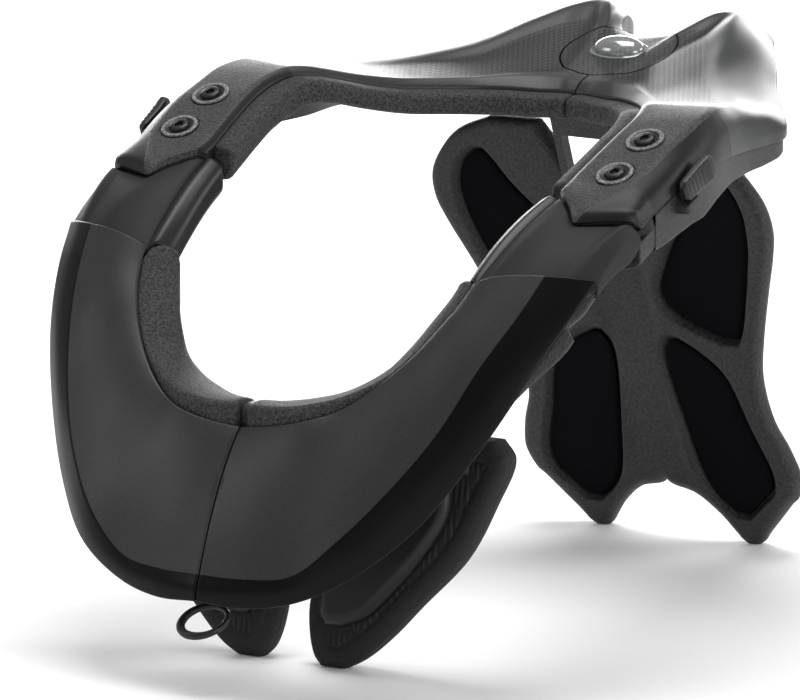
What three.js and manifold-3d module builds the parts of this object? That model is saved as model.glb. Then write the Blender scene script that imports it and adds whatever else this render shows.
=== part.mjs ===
// Motocross neck brace: a hard collar in two halves, padded round the neck, with chest pads in
// front and an X-shaped back plate. Millimetres, +X to the wearer's left, -Y to the front, +Z up.
// The half with X above zero is built from the tables, and the other half mirrors it.
import * as THREE from 'three';
import { mergeVertices } from 'three/addons/utils/BufferGeometryUtils.js';
import Module from 'manifold-3d';

const wasm = await Module();
wasm.setup();

// Driving dimensions
const HALF_WIDTH = 114; // mirror plane to the outermost edge of the collar
const LENGTH = 350; // front of the bib to the rear tips
const HEIGHT = 204; // floor to the top of the rear tips
const CLEARANCE = 0.3; // between pieces that sit against each other
const SEAM = 0.5; // width of the front and rear centre seams
const SHELL_WALL = 2.6; // bib shell
const SHELL_CROWN = 3; // rise of the bib between its neck edge and its crease
const FRAME_GAP = 0.6; // between the bib shell and its frame
const FRAME_WALL = 4.5; // frame under the bib
const FRAME_INSET = 2.5; // frame edge inside the bib's outer edge
const PAD_SEAM = 4; // gap between the two front neck pads
const PAD_PROUD = 0.5; // rise of the front neck pads above the bib's neck edge
const PAD_TOP_ROUND = 4; // rounding of the front neck pads
const PAD_DEPTH = 20; // height of the front neck pads
const SLEEVE_DEPTH = 12; // height of the smooth sleeves on the arms
const SLEEVE_ROUND = 3; // rounding of the sleeves
const SLEEVE_WIDTH = 8.5; // thickness of the sleeves towards the neck
const REAR_PAD_DEPTH = 13; // height of the rear neck pads beside the cover
const REAR_PAD_DEPTH_BACK = 9.5; // height of the rear neck pads under the wings
const REAR_PAD_WIDTH = 8; // thickness of the rear neck pads towards the neck
const REAR_PAD_ROUND = 3.5; // rounding of the rear neck pads
const REAR_PAD_TUCK = 0.8; // rear pads below the inner edge of the rear shell
const RIM_DROP = 2.2; // inner edge of the rear shell below its rim
const ARM_STEP = 1.4; // arm surface below the bib shell
const ARM_DEPTH = 12.5; // thickness of the arm in front of the cover
const ARM_END_GAP = 1.2; // from the arm's end to the cover, so that the arm can swing
const COVER_DEPTH = 10.7; // screw cover, top to flat underside
const PLATE_WALL = 4.5; // rear wing plate
const FRAME_DROP = 1.2; // lower body below the wing plate
const TONGUE_WALL = 4.2; // tongue of the arm, in its slot under the cover
const TONGUE_END_GAP = 3; // behind the tongue, so that it can leave on an arc
const HINGE_RADIUS = 5; // round corner of the tongue about the hinge pin
const SCREW_SPACING = 22.4; // between the two screws of a cover
const WASHER_RADIUS = 7;
const WASHER_WALL = 1;
const WASHER_BORE = 4;
const RECESS_DEPTH = 1.6; // round recess of a washer
const SCREW_HEAD_RADIUS = 3.6;
const SCREW_HEAD_HEIGHT = 1.8;
const SCREW_SHANK_RADIUS = 2.6;
const SCREW_LENGTH = 8;
const SOCKET_RADIUS = 1.9; // hex socket, centre to corner
const SOCKET_DEPTH = 1.2;
const DISC_RADIUS = 22;
const DISC_WALL = 2.4;
const DISC_FLAT = 18.5; // centre of the disc to its straight rear edge
const ROUND_SIDES = 18; // of washers, screws and their recesses
const DOME_LENGTH = 22;
const DOME_WIDTH = 15;
const DOME_HEIGHT = 2.6;
const LEVER_LENGTH = 19;
const LEVER_WALL = 4;
const LEVER_HEIGHT = 9;
const BACK_WALL = 9; // back plate
const BACK_LEAN = 0.375; // rearward shift of the back plate for each millimetre down
const BACK_WRAP = 8; // forward wrap of the upper lobes
const POCKET_DEPTH = 4.5; // recesses of the back plate
const INSERT_WALL = 2; // foam inserts in the recesses
const POCKET_GAP = 0.4; // round each insert
const CHEST_WALL = 12; // chest pads
const CHEST_LEAN = 0.16; // rearward shift of the chest pads for each millimetre up
const CAP_RISE = 5; // smooth hump on a chest pad
const LOOP_RADIUS = 8.7; // strap loop, centre of its wire
const LOOP_WIRE = 2.6; // diameter of its wire
const LOOP_TILT = 0.47; // rise of the loop to the rear, in radians
const LOOP_CENTRE = [0, -0.166, 0.123];
const LUG_WIDTH = 7; // lug of the frame round the loop
const LUG_DEPTH = 8;
const LUG_HEIGHT = 24;
const LUG_BELOW = 3; // lug past the wire it holds, below and behind
const BRACKET_WIDTH = 26; // upright strip that carries the back plate
const BRACKET_WALL = 5;

// Bib sections from the centre seam to the arm: neck edge a, crease b, outer edge c and the
// neck side p of the foam pad, as shares of half width, length and height.
const BIB = [
  {
    a: [0.000, -0.100, 0.450], b: [0.000, -0.177, 0.206],
    c: [0.000, -0.182, 0.162], p: [0.000, -0.057, 0.488],
  },
  {
    a: [0.114, -0.106, 0.459], b: [0.158, -0.173, 0.206],
    c: [0.167, -0.174, 0.157], p: [0.096, -0.050, 0.490],
  },
  {
    a: [0.228, -0.103, 0.473], b: [0.316, -0.163, 0.218],
    c: [0.333, -0.161, 0.174], p: [0.184, -0.037, 0.498],
  },
  {
    a: [0.331, -0.084, 0.493], b: [0.456, -0.151, 0.282],
    c: [0.509, -0.143, 0.225], p: [0.272, -0.026, 0.512],
  },
  {
    a: [0.428, -0.063, 0.534], b: [0.588, -0.121, 0.370],
    c: [0.667, -0.104, 0.309], p: [0.351, -0.017, 0.539],
  },
  {
    a: [0.511, -0.038, 0.584], b: [0.693, -0.083, 0.466],
    c: [0.803, -0.060, 0.436], p: [0.421, 0.000, 0.578],
  },
  {
    a: [0.568, -0.013, 0.635], b: [0.772, -0.041, 0.578],
    c: [0.899, -0.017, 0.556], p: [0.474, 0.019, 0.625],
  },
  {
    a: [0.601, 0.009, 0.674], b: [0.833, 0.006, 0.668],
    c: [0.960, 0.027, 0.650], p: [0.509, 0.036, 0.659],
  },
  {
    a: [0.614, 0.025, 0.703], b: [0.860, 0.039, 0.728],
    c: [0.991, 0.065, 0.718], p: [0.528, 0.047, 0.680],
  },
];

// Front edge of a screw cover, from its neck side to its outer side, as shares of the arm's
// half width: across, along the arm, and down from the cover's flat top.
const COVER_FRONT = [
  { across: -0.86, along: -0.56, down: 0.16 },
  { across: -0.72, along: -0.66, down: 0.03 },
  { across: -0.36, along: -1.05, down: 0.03 },
  { across: -0.12, along: -1.40, down: 0.06 },
  { across: 0.86, along: -1.02, down: 0.18 },
  { across: 0.94, along: -0.93, down: 0.42 },
];

// Rear sections from the cover to the rear seam: inner edge i, crease k and outer edge o as
// shares of half width, length and height. arm is how far the section belongs to the arm,
// whose underside is flat, and body is the depth of the frame below it as a share of the height.
const REAR = [
  { i: [0.670, 0.177, 0.855], k: [0.908, 0.177, 0.860], o: [0.991, 0.171, 0.807], arm: 1.0, body: 0.064 },
  { i: [0.675, 0.200, 0.874], k: [0.921, 0.203, 0.880], o: [0.998, 0.200, 0.829], arm: 1.0, body: 0.074 },
  { i: [0.682, 0.229, 0.897], k: [0.925, 0.234, 0.904], o: [1.000, 0.234, 0.853], arm: 1.0, body: 0.084 },
  { i: [0.687, 0.263, 0.922], k: [0.925, 0.271, 0.926], o: [0.991, 0.274, 0.862], arm: 0.9, body: 0.084 },
  { i: [0.682, 0.297, 0.941], k: [0.921, 0.309, 0.946], o: [0.969, 0.314, 0.870], arm: 0.6, body: 0.064 },
  { i: [0.658, 0.323, 0.951], k: [0.895, 0.346, 0.953], o: [0.934, 0.360, 0.875], arm: 0.3, body: 0.050 },
  { i: [0.623, 0.343, 0.949], k: [0.860, 0.383, 0.946], o: [0.899, 0.414, 0.875], arm: 0.1, body: 0.042 },
  { i: [0.592, 0.360, 0.942], k: [0.833, 0.417, 0.936], o: [0.882, 0.463, 0.874], arm: 0.0, body: 0.036 },
  { i: [0.538, 0.396, 0.925], k: [0.772, 0.463, 0.926], o: [0.870, 0.503, 0.877], arm: 0.0, body: 0.030 },
  { i: [0.463, 0.436, 0.911], k: [0.667, 0.503, 0.924], o: [0.772, 0.549, 0.897], arm: 0.0, body: 0.030 },
  { i: [0.379, 0.473, 0.905], k: [0.570, 0.549, 0.931], o: [0.667, 0.596, 0.914], arm: 0.0, body: 0.030 },
  { i: [0.297, 0.502, 0.900], k: [0.474, 0.591, 0.944], o: [0.574, 0.645, 0.931], arm: 0.0, body: 0.030 },
  { i: [0.219, 0.519, 0.897], k: [0.386, 0.651, 0.975], o: [0.447, 0.709, 0.946], arm: 0.0, body: 0.030 },
  { i: [0.154, 0.529, 0.893], k: [0.316, 0.694, 0.995], o: [0.360, 0.754, 0.939], arm: 0.0, body: 0.030 },
  { i: [0.115, 0.533, 0.891], k: [0.263, 0.726, 1.000], o: [0.272, 0.797, 0.934], arm: 0.0, body: 0.030 },
  { i: [0.085, 0.536, 0.890], k: [0.211, 0.720, 0.997], o: [0.224, 0.774, 0.951], arm: 0.0, body: 0.030 },
  { i: [0.058, 0.538, 0.889], k: [0.158, 0.694, 0.976], o: [0.167, 0.731, 0.966], arm: 0.0, body: 0.030 },
  { i: [0.030, 0.539, 0.889], k: [0.100, 0.657, 0.949], o: [0.100, 0.691, 0.953], arm: 0.0, body: 0.030 },
  { i: [0.000, 0.540, 0.888], k: [0.000, 0.645, 0.942], o: [0.000, 0.683, 0.942], arm: 0.0, body: 0.030 },
];

// Back plate by height: inner and outer edge of one half, as shares of height and half width.
// The two halves overlap at the mirror plane above the notch.
const BACK_OUTLINE = [
  { z: 0.820, inner: -0.010, outer: 0.380 },
  { z: 0.790, inner: -0.010, outer: 0.505 },
  { z: 0.750, inner: -0.010, outer: 0.580 },
  { z: 0.700, inner: -0.010, outer: 0.635 },
  { z: 0.650, inner: -0.010, outer: 0.645 },
  { z: 0.600, inner: -0.010, outer: 0.622 },
  { z: 0.520, inner: -0.010, outer: 0.565 },
  { z: 0.420, inner: -0.010, outer: 0.500 },
  { z: 0.345, inner: -0.010, outer: 0.465 },
  { z: 0.260, inner: -0.010, outer: 0.472 },
  { z: 0.205, inner: -0.010, outer: 0.510 },
  { z: 0.147, inner: -0.010, outer: 0.532 },
  { z: 0.108, inner: 0.010, outer: 0.508 },
  { z: 0.090, inner: 0.110, outer: 0.475 },
  { z: 0.055, inner: 0.193, outer: 0.410 },
  { z: 0.022, inner: 0.263, outer: 0.325 },
  { z: 0.000, inner: 0.272, outer: 0.312 },
];

// Recesses of the back plate by height, as shares of height and half width.
const UPPER_POCKET = [
  { z: 0.755, inner: 0.430, outer: 0.465 },
  { z: 0.735, inner: 0.400, outer: 0.510 },
  { z: 0.690, inner: 0.350, outer: 0.550 },
  { z: 0.625, inner: 0.250, outer: 0.550 },
  { z: 0.560, inner: 0.175, outer: 0.520 },
  { z: 0.490, inner: 0.125, outer: 0.480 },
  { z: 0.450, inner: 0.180, outer: 0.455 },
  { z: 0.412, inner: 0.350, outer: 0.420 },
];
const LOWER_POCKET = [
  { z: 0.410, inner: 0.125, outer: 0.165 },
  { z: 0.385, inner: 0.098, outer: 0.250 },
  { z: 0.343, inner: 0.094, outer: 0.335 },
  { z: 0.240, inner: 0.118, outer: 0.395 },
  { z: 0.150, inner: 0.145, outer: 0.445 },
  { z: 0.115, inner: 0.165, outer: 0.435 },
  { z: 0.080, inner: 0.210, outer: 0.370 },
  { z: 0.055, inner: 0.265, outer: 0.320 },
];

// Chest pad and its smooth hump by height: the same shares.
const CHEST_OUTLINE = [
  { z: 0.000, inner: 0.115, outer: 0.200 },
  { z: 0.018, inner: 0.085, outer: 0.262 },
  { z: 0.060, inner: 0.060, outer: 0.350 },
  { z: 0.120, inner: 0.055, outer: 0.450 },
  { z: 0.210, inner: 0.120, outer: 0.600 },
  { z: 0.310, inner: 0.250, outer: 0.690 },
  { z: 0.395, inner: 0.430, outer: 0.740 },
  { z: 0.428, inner: 0.500, outer: 0.690 },
];
const CAP_OUTLINE = [
  { z: 0.078, inner: 0.150, outer: 0.215 },
  { z: 0.100, inner: 0.120, outer: 0.300 },
  { z: 0.150, inner: 0.130, outer: 0.390 },
  { z: 0.210, inner: 0.190, outer: 0.480 },
  { z: 0.285, inner: 0.300, outer: 0.560 },
  { z: 0.345, inner: 0.420, outer: 0.570 },
];

const at = ([x, y, z]) => new THREE.Vector3(x * HALF_WIDTH, y * LENGTH, z * HEIGHT);
const lerp = (a, b, t) => a.clone().lerp(b, t);

// Smooth curve through the points of one table column, sampled at even steps.
function column(points, steps) {
  const curve = new THREE.CatmullRomCurve3(points, false, 'centripetal');
  return Array.from({ length: steps + 1 }, (_, n) => curve.getPoint(n / steps));
}

// Turns lists of points along the piece into rows across it.
function rowsFromColumns(columns) {
  return columns[0].map((_, n) => columns.map((c) => c[n]));
}

// Closed geometry from vertices and triangles, with its faces pointing out.
function closedGeometry(vertices, triangles) {
  let volume = 0;
  for (const [i, j, k] of triangles) {
    volume += vertices[i].dot(vertices[j].clone().cross(vertices[k]));
  }
  const order = volume < 0 ? triangles.map(([i, j, k]) => [i, k, j]) : triangles;
  const geometry = new THREE.BufferGeometry();
  const flat = vertices.flatMap((v) => [v.x, v.y, v.z]);
  geometry.setAttribute('position', new THREE.Float32BufferAttribute(flat, 3));
  geometry.setIndex(order.flat());
  return mergeVertices(geometry, 1e-5);
}

// Body through rings of points, each ring running over the top and back below, with end strips.
function loft(rings) {
  const size = rings[0].length;
  const last = rings.length - 1;
  const vertices = rings.flat();
  const triangles = [];
  const quad = (a, b, c, d) => triangles.push([a, b, c], [a, c, d]);
  for (let n = 0; n < last; n += 1) {
    for (let m = 0; m < size; m += 1) {
      const next = (m + 1) % size;
      quad(n * size + m, n * size + next, (n + 1) * size + next, (n + 1) * size + m);
    }
  }
  const first = 0;
  const end = last * size;
  for (let m = 0; m < size / 2 - 1; m += 1) {
    quad(first + m, first + size - 1 - m, first + size - 2 - m, first + m + 1);
    quad(end + m, end + m + 1, end + size - 2 - m, end + size - 1 - m);
  }
  return closedGeometry(vertices, triangles);
}

// Plate between an upper and a lower grid of points.
function slab(top, bottom) {
  return loft(top.map((row, n) => [...row, ...[...bottom[n]].reverse()]));
}

// Grid moved off its surface by a distance, along the normals worked out from its neighbours.
function offsetGrid(grid, distance) {
  const rows = grid.length;
  const cols = grid[0].length;
  const clamp = (value, top) => Math.min(Math.max(value, 0), top);
  return grid.map((row, n) => row.map((point, m) => {
    const along = grid[clamp(n + 1, rows - 1)][m].clone().sub(grid[clamp(n - 1, rows - 1)][m]);
    const across = grid[n][clamp(m + 1, cols - 1)].clone().sub(grid[n][clamp(m - 1, cols - 1)]);
    const normal = across.cross(along).normalize();
    return point.clone().addScaledVector(normal, distance);
  }));
}

function mirrorGeometry(geometry) {
  const mirrored = welded(geometry).scale(-1, 1, 1);
  const index = mirrored.getIndex();
  for (let n = 0; n < index.count; n += 3) {
    const second = index.getX(n + 1);
    index.setX(n + 1, index.getX(n + 2));
    index.setX(n + 2, second);
  }
  return mirrored;
}

// Copy of a geometry with only positions, and its shared vertices merged.
function welded(geometry) {
  const bare = new THREE.BufferGeometry();
  bare.setAttribute('position', geometry.getAttribute('position').clone());
  if (geometry.getIndex()) bare.setIndex(geometry.getIndex().clone());
  return mergeVertices(bare, 1e-5);
}

function toSolid(geometry) {
  const merged = welded(geometry);
  const mesh = new wasm.Mesh({
    numProp: 3,
    vertProperties: new Float32Array(merged.getAttribute('position').array),
    triVerts: new Uint32Array(merged.getIndex().array),
  });
  return new wasm.Manifold(mesh);
}

function toGeometry(solid) {
  const mesh = solid.getMesh();
  const geometry = new THREE.BufferGeometry();
  geometry.setAttribute('position', new THREE.BufferAttribute(new Float32Array(mesh.vertProperties), 3));
  geometry.setIndex(new THREE.BufferAttribute(new Uint32Array(mesh.triVerts), 1));
  return geometry;
}

function cut(geometry, ...tools) {
  return toGeometry(tools.reduce((solid, tool) => solid.subtract(toSolid(tool)), toSolid(geometry)));
}

function join(geometry, ...others) {
  return toGeometry(others.reduce((solid, other) => solid.add(toSolid(other)), toSolid(geometry)));
}

// Frame of an arm: origin at the front screw on the cover's flat top, u out to the side,
// v rearward up the slope and w square to the top.
const FRONT_SCREW = at([0.824, 0.186, 0.871]);
const REAR_SCREW_SIDE = at([0.824, 0.245, 0.9172]);
const SLOPE = Math.atan2(REAR_SCREW_SIDE.z - FRONT_SCREW.z, REAR_SCREW_SIDE.y - FRONT_SCREW.y);
const ARM_HALF = 0.18 * HALF_WIDTH;
const ARM_MATRIX = new THREE.Matrix4().makeRotationX(SLOPE).setPosition(FRONT_SCREW);
const ARM_INVERSE = ARM_MATRIX.clone().invert();
const armPoint = (u, v, w) => new THREE.Vector3(u, v, w).applyMatrix4(ARM_MATRIX);
const armLocal = (point) => point.clone().applyMatrix4(ARM_INVERSE);

// Same point with its depth below the arm's flat top set.
function dropTo(point, depth) {
  const local = armLocal(point);
  return armPoint(local.x, local.y, -depth);
}

// Levels below the arm's flat top, from the cover down to the frame.
const TONGUE_TOP = COVER_DEPTH + CLEARANCE;
const TONGUE_BOTTOM = TONGUE_TOP + TONGUE_WALL;
const SLOT_BOTTOM = TONGUE_BOTTOM + CLEARANCE;
const HINGE = { u: 0.68 * ARM_HALF, v: -0.58 * ARM_HALF };
const TONGUE_END = -0.40 * ARM_HALF;
const SLOT_END = TONGUE_END + TONGUE_END_GAP;

// Bib surface: neck edge, rounded rim, crown, crease, flank and outer edge.
const BIB_STEPS = 16;
function bibGrid() {
  const a = column(BIB.map((row) => at(row.a)), BIB_STEPS);
  const b = column(BIB.map((row) => at(row.b)), BIB_STEPS);
  const c = column(BIB.map((row) => at(row.c)), BIB_STEPS);
  const inner = [0.12, 0.36, 0.68].map((share) => lerpAll(a, b, share));
  const columns = [a, ...inner, b, lerpAll(b, c, 0.5), c];
  const crown = [0, 0.55, 1, 0.8, 0, 0.25, 0];
  const grid = rowsFromColumns(columns);
  const raised = offsetGrid(grid, SHELL_CROWN);
  const surface = grid.map((row, n) => row.map((point, m) => lerp(point, raised[n][m], crown[m])));
  surface[0].forEach((point) => point.setX(SEAM / 2));
  return surface;
}

function lerpAll(first, second, share) {
  return first.map((point, n) => lerp(point, second[n], share));
}

// Inner face of the bib, with an upright end towards the arm.
function bibInside(outside) {
  const inside = offsetGrid(outside, -SHELL_WALL);
  inside[0].forEach((point) => point.setX(SEAM / 2));
  inside[inside.length - 1] = outside.at(-1).map((p) => new THREE.Vector3(p.x, p.y, p.z - 1.3 * SHELL_WALL));
  return inside;
}

function bibShell() {
  const outside = bibGrid();
  return slab(outside, bibInside(outside));
}

// Both halves of a grid in one run across the mirror plane.
function bothSides(grid) {
  const other = grid.slice(1).reverse().map((row) => row.map((p) => new THREE.Vector3(-p.x, p.y, p.z)));
  const middle = grid[0].map((p) => new THREE.Vector3(0, p.y, p.z));
  return [...other, middle, ...grid.slice(1)];
}

// Level direction from the bib's neck edge towards the neck, for each section.
function neckDirections() {
  const a = column(BIB.map((row) => at(row.a)), BIB_STEPS);
  const p = column(BIB.map((row) => at(row.p)), BIB_STEPS);
  return a.map((edge, n) => p[n].clone().sub(edge).setZ(0).normalize());
}

// Row of points without the start that reaches past a limit along a direction.
function trimRow(row, origin, direction, limit) {
  const reach = row.map((point) => point.clone().sub(origin).dot(direction));
  const from = reach.findIndex((value) => value <= limit);
  if (from < 1) return row;
  const share = (reach[from - 1] - limit) / (reach[from - 1] - reach[from]);
  return [lerp(row[from - 1], row[from], share), ...row.slice(from)];
}

const FRAME_SHARES = [0, 0.2, 0.4, 0.6, 0.8, 1];
function bibFrame() {
  const surface = bibGrid();
  const neckward = neckDirections();
  const layer = (depth) => offsetGrid(surface, -depth).map((row, n) => {
    const clear = trimRow(row, surface[n][0], neckward[n], -CLEARANCE);
    const edge = clear.at(-1);
    const before = clear.at(-2);
    const outer = lerp(edge, before, FRAME_INSET / edge.distanceTo(before));
    const trimmed = [...clear.slice(0, -1), outer];
    return FRAME_SHARES.map((share) => pointAlong(trimmed, share));
  });
  const last = BIB_STEPS - 1;
  const top = layer(SHELL_WALL + FRAME_GAP).slice(0, last);
  const bottom = layer(SHELL_WALL + FRAME_GAP + FRAME_WALL).slice(0, last);
  return slab(bothSides(top), bothSides(bottom));
}

// Front face of the chest pads at a height.
const chestFront = (z) => -0.5 * CHEST_WALL + CHEST_LEAN * z;

// Web from the frame back to one chest pad, as shares of half width and height.
const CARRIER = { x: 0.56, z: 0.385, halfWidth: 0.06, halfHeight: 0.02, taper: 1.2 };
function chestCarrier() {
  const front = lerp(at(BIB[4].a), at(BIB[4].b), 0.45);
  const inward = new THREE.Vector3(0, 1, -0.35).normalize();
  const start = front.addScaledVector(inward, SHELL_WALL + FRAME_GAP + FRAME_WALL / 4);
  const x = CARRIER.halfWidth * HALF_WIDTH;
  const z = CARRIER.halfHeight * HEIGHT;
  const height = CARRIER.z * HEIGHT;
  const end = new THREE.Vector3(CARRIER.x * HALF_WIDTH, chestFront(height - z) - CLEARANCE, height);
  const ring = (p, k) => [[-x, z * k], [x, z * k], [x, -z * k], [-x, -z * k]].map(
    ([side, up]) => new THREE.Vector3(p.x + side, p.y, p.z + up),
  );
  return loft([ring(start, CARRIER.taper), ring(end, 1)]);
}

// Foam pad of the front half: a rounded roll from the bib's neck edge towards the neck.
function frontPad() {
  const surface = bibGrid();
  const inside = bibInside(surface);
  const neckward = neckDirections();
  const p = column(BIB.map((row) => at(row.p)), BIB_STEPS);
  const rings = surface.map((row, n) => {
    const flat = neckward[n];
    const past = Math.max(inside[n][0].clone().sub(row[0]).dot(flat), 0) + CLEARANCE;
    const outer = row[0].clone().addScaledVector(flat, past);
    const inner = p[n];
    const level = (point, z) => new THREE.Vector3(point.x, point.y, z);
    const top = Math.max(row[0].z, inner.z) + PAD_PROUD;
    const low = inner.z - PAD_DEPTH;
    const outerLow = row[0].z - PAD_DEPTH;
    const r = PAD_TOP_ROUND;
    return [
      level(outer, top - r),
      level(outer.clone().addScaledVector(flat, r), top),
      level(inner.clone().addScaledVector(flat, -r), top),
      level(inner, top - r),
      level(inner, low + r),
      level(inner.clone().addScaledVector(flat, -r), low),
      level(outer.clone().addScaledVector(flat, r), outerLow),
      level(outer, outerLow + r),
    ];
  });
  rings[0].forEach((point) => point.setX(PAD_SEAM / 2));
  return loft(rings);
}

// Arm surface from the bib's end to the front edge of the cover, one column for each point of
// that edge.
const ARM_SHARES = [0, 0.14, 0.42, 0.62, 0.82, 1];
function coverFront(gap, depthOf) {
  return COVER_FRONT.map((point) => armPoint(
    point.across * ARM_HALF,
    point.along * ARM_HALF - gap,
    -depthOf(point),
  ));
}

function armGrid() {
  const end = coverFront(ARM_END_GAP, (point) => (point.down + 0.05) * ARM_HALF + ARM_STEP);
  const bib = bibGrid().at(-1);
  const rim = ARM_SHARES.map((share) => pointAlong(bib, share));
  const back = new THREE.Vector3(0, CLEARANCE + 0.2, -ARM_STEP);
  const start = rim.map((point) => point.clone().add(back));
  const bend = [0, 0.35, 0.7, 1];
  return bend.map((t) => start.map((point, m) => {
    const middle = lerp(point, end[m], t);
    middle.z += 4 * t * (1 - t) * 0.012 * HEIGHT;
    return middle;
  }));
}

// Point at a share of the length of a run of points.
function pointAlong(points, share) {
  const steps = points.slice(1).map((point, n) => point.distanceTo(points[n]));
  let rest = share * steps.reduce((sum, step) => sum + step, 0);
  for (let n = 0; n < steps.length; n += 1) {
    if (rest <= steps[n] || n === steps.length - 1) return lerp(points[n], points[n + 1], rest / steps[n]);
    rest -= steps[n];
  }
  return points.at(-1).clone();
}

function armDepth(share, column) {
  const edge = column === 0 || column === ARM_SHARES.length - 1;
  return (edge ? 0.85 : 1) * ARM_DEPTH * (0.5 + 0.5 * share);
}

function sideArm() {
  const top = armGrid();
  const bottom = top.map((row, n) => row.map((point, m) => {
    const lower = point.clone();
    lower.z -= armDepth(n / (top.length - 1), m);
    return lower;
  }));
  const deepest = TONGUE_BOTTOM + 1;
  bottom[bottom.length - 1] = top.at(-1).map((point) => dropTo(point, deepest));
  return join(slab(top, bottom), tongue());
}

// Plate with a round corner about the hinge pin, in the plane of the arm.
function tongue() {
  const shape = new THREE.Shape();
  const corner = 1.5;
  const root = -1.62 * ARM_HALF;
  const side = -0.60 * ARM_HALF;
  shape.moveTo(side, root * 0.86);
  shape.lineTo(side, TONGUE_END - corner);
  shape.lineTo(side + corner, TONGUE_END);
  shape.lineTo(HINGE.u - HINGE_RADIUS, TONGUE_END);
  shape.absarc(HINGE.u, HINGE.v, HINGE_RADIUS, Math.PI * 0.6, -Math.PI * 0.25, true);
  shape.lineTo(0.45 * ARM_HALF, root * 0.82);
  shape.closePath();
  const options = { depth: TONGUE_WALL, bevelEnabled: false, curveSegments: 8 };
  const plate = new THREE.ExtrudeGeometry(shape, options);
  plate.translate(0, 0, -TONGUE_BOTTOM);
  return plate.applyMatrix4(ARM_MATRIX);
}

// Smooth sleeve on the neck side of the arm.
function sleeve() {
  const top = armGrid().map((row) => row[0]);
  const start = at(BIB.at(-1).a);
  const toNeck = at(BIB.at(-1).p).sub(start).setZ(0).normalize();
  const across = new THREE.Vector3(-1, 0, 0);
  const neckward = [0, 0.5, 0.8, 1].map((share) => lerp(toNeck, across, share));
  const rings = top.map((edge, n) => {
    const flat = neckward[n].clone().normalize();
    const outer = edge.clone().addScaledVector(flat, 2 * CLEARANCE);
    const inner = outer.clone().addScaledVector(flat, SLEEVE_WIDTH);
    const lift = (point, z) => new THREE.Vector3(point.x, point.y, point.z + z);
    return [
      lift(outer, 0),
      lift(lerp(outer, inner, 0.35), 1.6),
      lift(lerp(outer, inner, 0.8), 0.6),
      lift(inner, -SLEEVE_ROUND),
      lift(inner, -SLEEVE_DEPTH + SLEEVE_ROUND),
      lift(lerp(outer, inner, 0.8), -SLEEVE_DEPTH),
      lift(lerp(outer, inner, 0.3), -SLEEVE_DEPTH),
      lift(outer, -SLEEVE_DEPTH + 2),
    ];
  });
  rings[0].forEach((point) => point.setY(point.y + 0.4));
  return loft(rings);
}

// Rear shell surface: inner edge, inner rim, plateau, crease, flank and outer edge.
const REAR_STEPS = 26;
const FLANK_BULGE = new THREE.Vector3(0.012 * HALF_WIDTH, 0, 0.006 * HEIGHT);
function rearGrid() {
  const i = column(REAR.map((row) => at(row.i)), REAR_STEPS);
  const k = column(REAR.map((row) => at(row.k)), REAR_STEPS);
  const o = column(REAR.map((row) => at(row.o)), REAR_STEPS);
  const rim = lerpAll(i, k, 0.09);
  const middle = lerpAll(i, k, 0.55);
  const flank = lerpAll(k, o, 0.55);
  const rows = rowsFromColumns([i, rim, middle, k, flank, o]);
  rows.forEach((row) => {
    row[0].z -= RIM_DROP;
    row[4].add(FLANK_BULGE);
  });
  rows.at(-1).forEach((point) => point.setX(SEAM / 2));
  const front = coverFront(0, (point) => point.down * ARM_HALF);
  return [front, ...rows];
}

const tableShare = (name) => (n) => {
  const place = Math.max(n - 1, 0) / REAR_STEPS * (REAR.length - 1);
  const low = Math.min(Math.floor(place), REAR.length - 2);
  return THREE.MathUtils.lerp(REAR[low][name], REAR[low + 1][name], place - low);
};
const armShare = tableShare('arm');
const bodyShare = tableShare('body');

// Underside of the rear shell: flat below the cover, and parallel to the top in the wing.
function rearUnderside(top) {
  return top.map((row, n) => row.map((point) => {
    const depth = Math.max(COVER_DEPTH, -armLocal(point).z + 0.8);
    const flat = dropTo(point, depth);
    const plate = point.clone();
    plate.z -= PLATE_WALL;
    return lerp(plate, flat, armShare(n));
  }));
}

function discFrame() {
  const rows = rearGrid().at(-1);
  const slope = Math.atan2(rows[5].z - rows[2].z, rows[5].y - rows[2].y);
  const centre = at([0, 0.630, 0.944]);
  return new THREE.Matrix4().makeRotationX(slope).setPosition(centre);
}

// Disc whose rear is cut straight, in line with the rear edge of the shell.
function discOutline() {
  const angle = Math.asin(DISC_FLAT / DISC_RADIUS);
  const shape = new THREE.Shape();
  shape.absarc(0, 0, DISC_RADIUS, Math.PI - angle, angle, false);
  shape.closePath();
  return shape;
}

function discSolid() {
  const options = { depth: DISC_WALL - CLEARANCE, bevelEnabled: false, curveSegments: 14 };
  const solid = new THREE.ExtrudeGeometry(discOutline(), options);
  solid.translate(0, 0, -DISC_WALL + CLEARANCE);
  return solid.applyMatrix4(discFrame());
}

function discPocket() {
  const above = 20;
  const radius = DISC_RADIUS + CLEARANCE;
  const round = new THREE.CylinderGeometry(radius, radius, DISC_WALL + above, 48);
  round.rotateX(Math.PI / 2).translate(0, 0, (above - DISC_WALL) / 2);
  return round.applyMatrix4(discFrame());
}

// Round recess of a washer with the bore of its screw.
function screwRecess(v) {
  const cylinder = (radius, height) => new THREE.CylinderGeometry(radius, radius, height, ROUND_SIDES);
  const wide = cylinder(WASHER_RADIUS + CLEARANCE, 2 * RECESS_DEPTH);
  const bore = cylinder(SCREW_SHANK_RADIUS + CLEARANCE, 4 * SCREW_LENGTH);
  return join(wide, bore).rotateX(Math.PI / 2).translate(0, v, 0).applyMatrix4(ARM_MATRIX);
}

function rearShell() {
  const top = rearGrid();
  const body = slab(top, rearUnderside(top));
  return cut(body, screwRecess(0), screwRecess(SCREW_SPACING), discPocket());
}

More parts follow.
